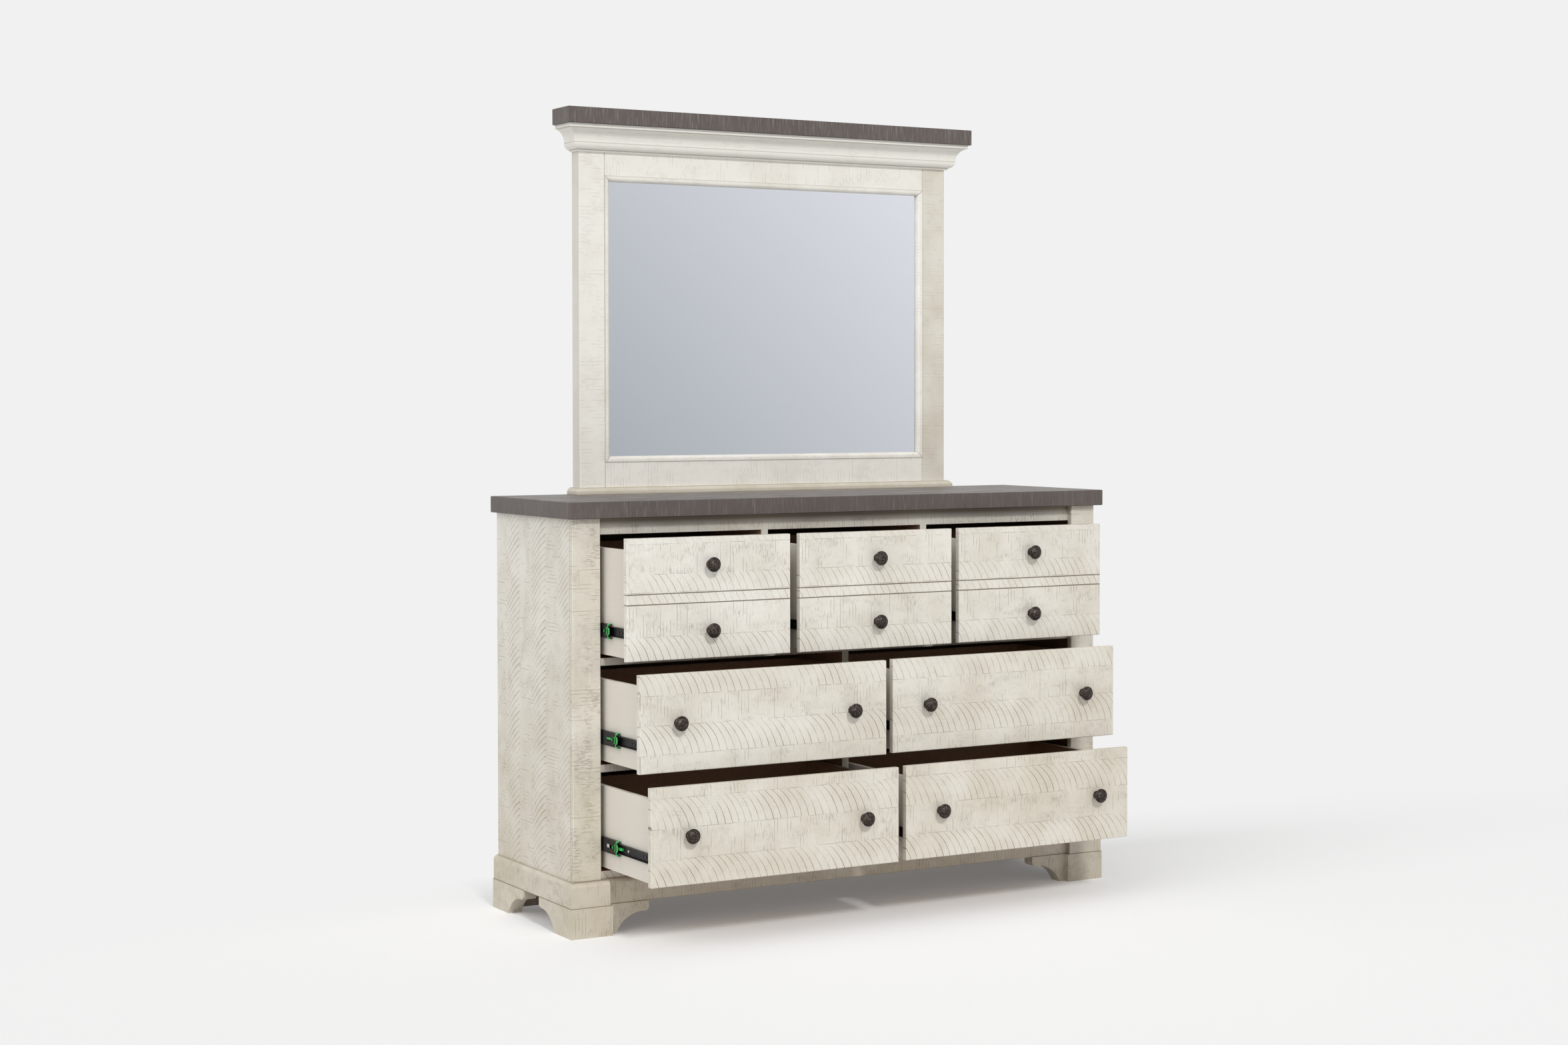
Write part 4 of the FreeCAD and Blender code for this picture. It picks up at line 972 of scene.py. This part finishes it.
class DRESSER_OT_stage(bpy.types.Operator):
    """Lay the pale floor and set up the studio light and the camera"""
    bl_idname = "dresser.stage"
    bl_label = "Set stage"

    def execute(self, context):
        scene = context.scene
        backdrop = scene.dresser_colours.backdrop
        form = bmesh.new()
        bmesh.ops.create_grid(form, x_segments=1, y_segments=1, size=FLOOR_REACH)
        floor = new_object("floor", form, [self.floor_finish(backdrop)])
        self.world(scene, backdrop)
        for name, strength, spread, towards in LAMPS:
            lamp = bpy.data.lights.new(name, "SUN")
            lamp.energy = strength
            lamp.angle = math.radians(spread)
            light = bpy.data.objects.new(name, lamp)
            light.rotation_euler = Vector(towards).to_track_quat("Z", "Y").to_euler()
            scene.collection.objects.link(light)
        self.camera(scene)
        scene.view_settings.view_transform = "Standard"
        return {"FINISHED"}

    def seen(self, tree):
        """1 where the camera, a gloss or a glass looks, 0 for the light on the object."""
        path = node(tree, "LightPath", {}).node.outputs
        return strongest(tree, [path[f"Is {kind} Ray"]
                                for kind in ("Camera", "Glossy", "Transmission")])

    def floor_finish(self, backdrop):
        """Matt painted board, lifted to the backdrop's colour where nothing shades it.

        It fades into the plain backdrop behind the dresser.
        """
        material, tree, _, places = new_finish("Matt painted studio floor")
        falling = sum(strength * Vector(towards).normalized().z / math.pi
                      for _, strength, _, towards in LAMPS)
        lift = [channel - FLOOR_TONE * (AMBIENT + falling) for channel in backdrop[:3]]
        seen = self.seen(tree)
        glow = node(tree, "Emission", {"Color": (*lift, 1), "Strength": seen})
        matt = node(tree, "BsdfDiffuse", {"Color": (FLOOR_TONE, FLOOR_TONE, FLOOR_TONE, 1)})
        near = node(tree, "AddShader", {0: glow, 1: matt})
        far = node(tree, "Emission", {"Color": backdrop, "Strength": 1.0})
        start, end = FLOOR_FADE
        share = node(tree, "MapRange", {"Value": places["y"], "From Min": start,
                                        "From Max": end})
        share = node(tree, "Math", {0: share, 1: seen}, operation="MULTIPLY")
        both = node(tree, "MixShader", {0: share, 1: near, 2: far})
        node(tree, "OutputMaterial", {"Surface": both})
        return material

    def world(self, scene, backdrop):
        """Even light on the object, and the plain backdrop that the camera sees."""
        world = bpy.data.worlds.new("studio")
        scene.world = world
        world.use_nodes = True
        tree = world.node_tree
        tree.nodes.clear()
        light = node(tree, "Background", {"Color": (1, 1, 1, 1), "Strength": AMBIENT})
        view = node(tree, "Background", {"Color": backdrop, "Strength": 1.0})
        both = node(tree, "MixShader", {0: self.seen(tree), 1: light, 2: view})
        node(tree, "OutputWorld", {"Surface": both})

    def camera(self, scene):
        """The photograph's camera, from its place and turn."""
        lens = bpy.data.cameras.new("camera")
        lens.sensor_width = 36
        lens.lens = FOCUS / PHOTO_WIDTH * lens.sensor_width
        lens.shift_y = (AXIS_Y - PHOTO_MIDDLE_Y) / PHOTO_WIDTH
        lens.clip_end = 500
        camera = bpy.data.objects.new("camera", lens)
        yaw, pitch, roll = (math.radians(angle) for angle in CAMERA_TURN)
        camera.matrix_world = (Matrix.Translation(CAMERA_PLACE)
                               @ Matrix.Rotation(-yaw, 4, "Z")
                               @ Matrix.Rotation(math.pi / 2 + pitch, 4, "X")
                               @ Matrix.Rotation(roll, 4, "Z"))
        scene.collection.objects.link(camera)
        scene.camera = camera


class DRESSER_PT_panel(bpy.types.Panel):
    bl_idname = "DRESSER_PT_panel"
    bl_label = "Dresser"
    bl_space_type = "VIEW_3D"
    bl_region_type = "UI"
    bl_category = "Dresser"

    def draw(self, context):
        for operator in OPERATORS:
            self.layout.operator(operator.bl_idname)
        for group in (context.scene.dresser_sizes, context.scene.dresser_colours):
            for name in group.bl_rna.properties.keys():
                if name not in ("rna_type", "name"):
                    self.layout.prop(group, name)


OPERATORS = (DRESSER_OT_case, DRESSER_OT_fronts, DRESSER_OT_boxes, DRESSER_OT_knobs,
             DRESSER_OT_slides, DRESSER_OT_mirror, DRESSER_OT_stage)
CLASSES = (DresserColours, DresserSizes, *OPERATORS, DRESSER_PT_panel)


def register():
    for cls in CLASSES:
        bpy.utils.register_class(cls)
    bpy.types.Scene.dresser_colours = PointerProperty(type=DresserColours)
    bpy.types.Scene.dresser_sizes = PointerProperty(type=DresserSizes)


def unregister():
    del bpy.types.Scene.dresser_sizes
    del bpy.types.Scene.dresser_colours
    for cls in reversed(CLASSES):
        bpy.utils.unregister_class(cls)


def main():
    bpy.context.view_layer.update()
    register()
    bpy.ops.dresser.case()
    bpy.ops.dresser.fronts()
    bpy.ops.dresser.boxes()
    bpy.ops.dresser.knobs()
    bpy.ops.dresser.slides()
    bpy.ops.dresser.mirror()
    bpy.ops.dresser.stage()


if __name__ == "__main__":
    main()
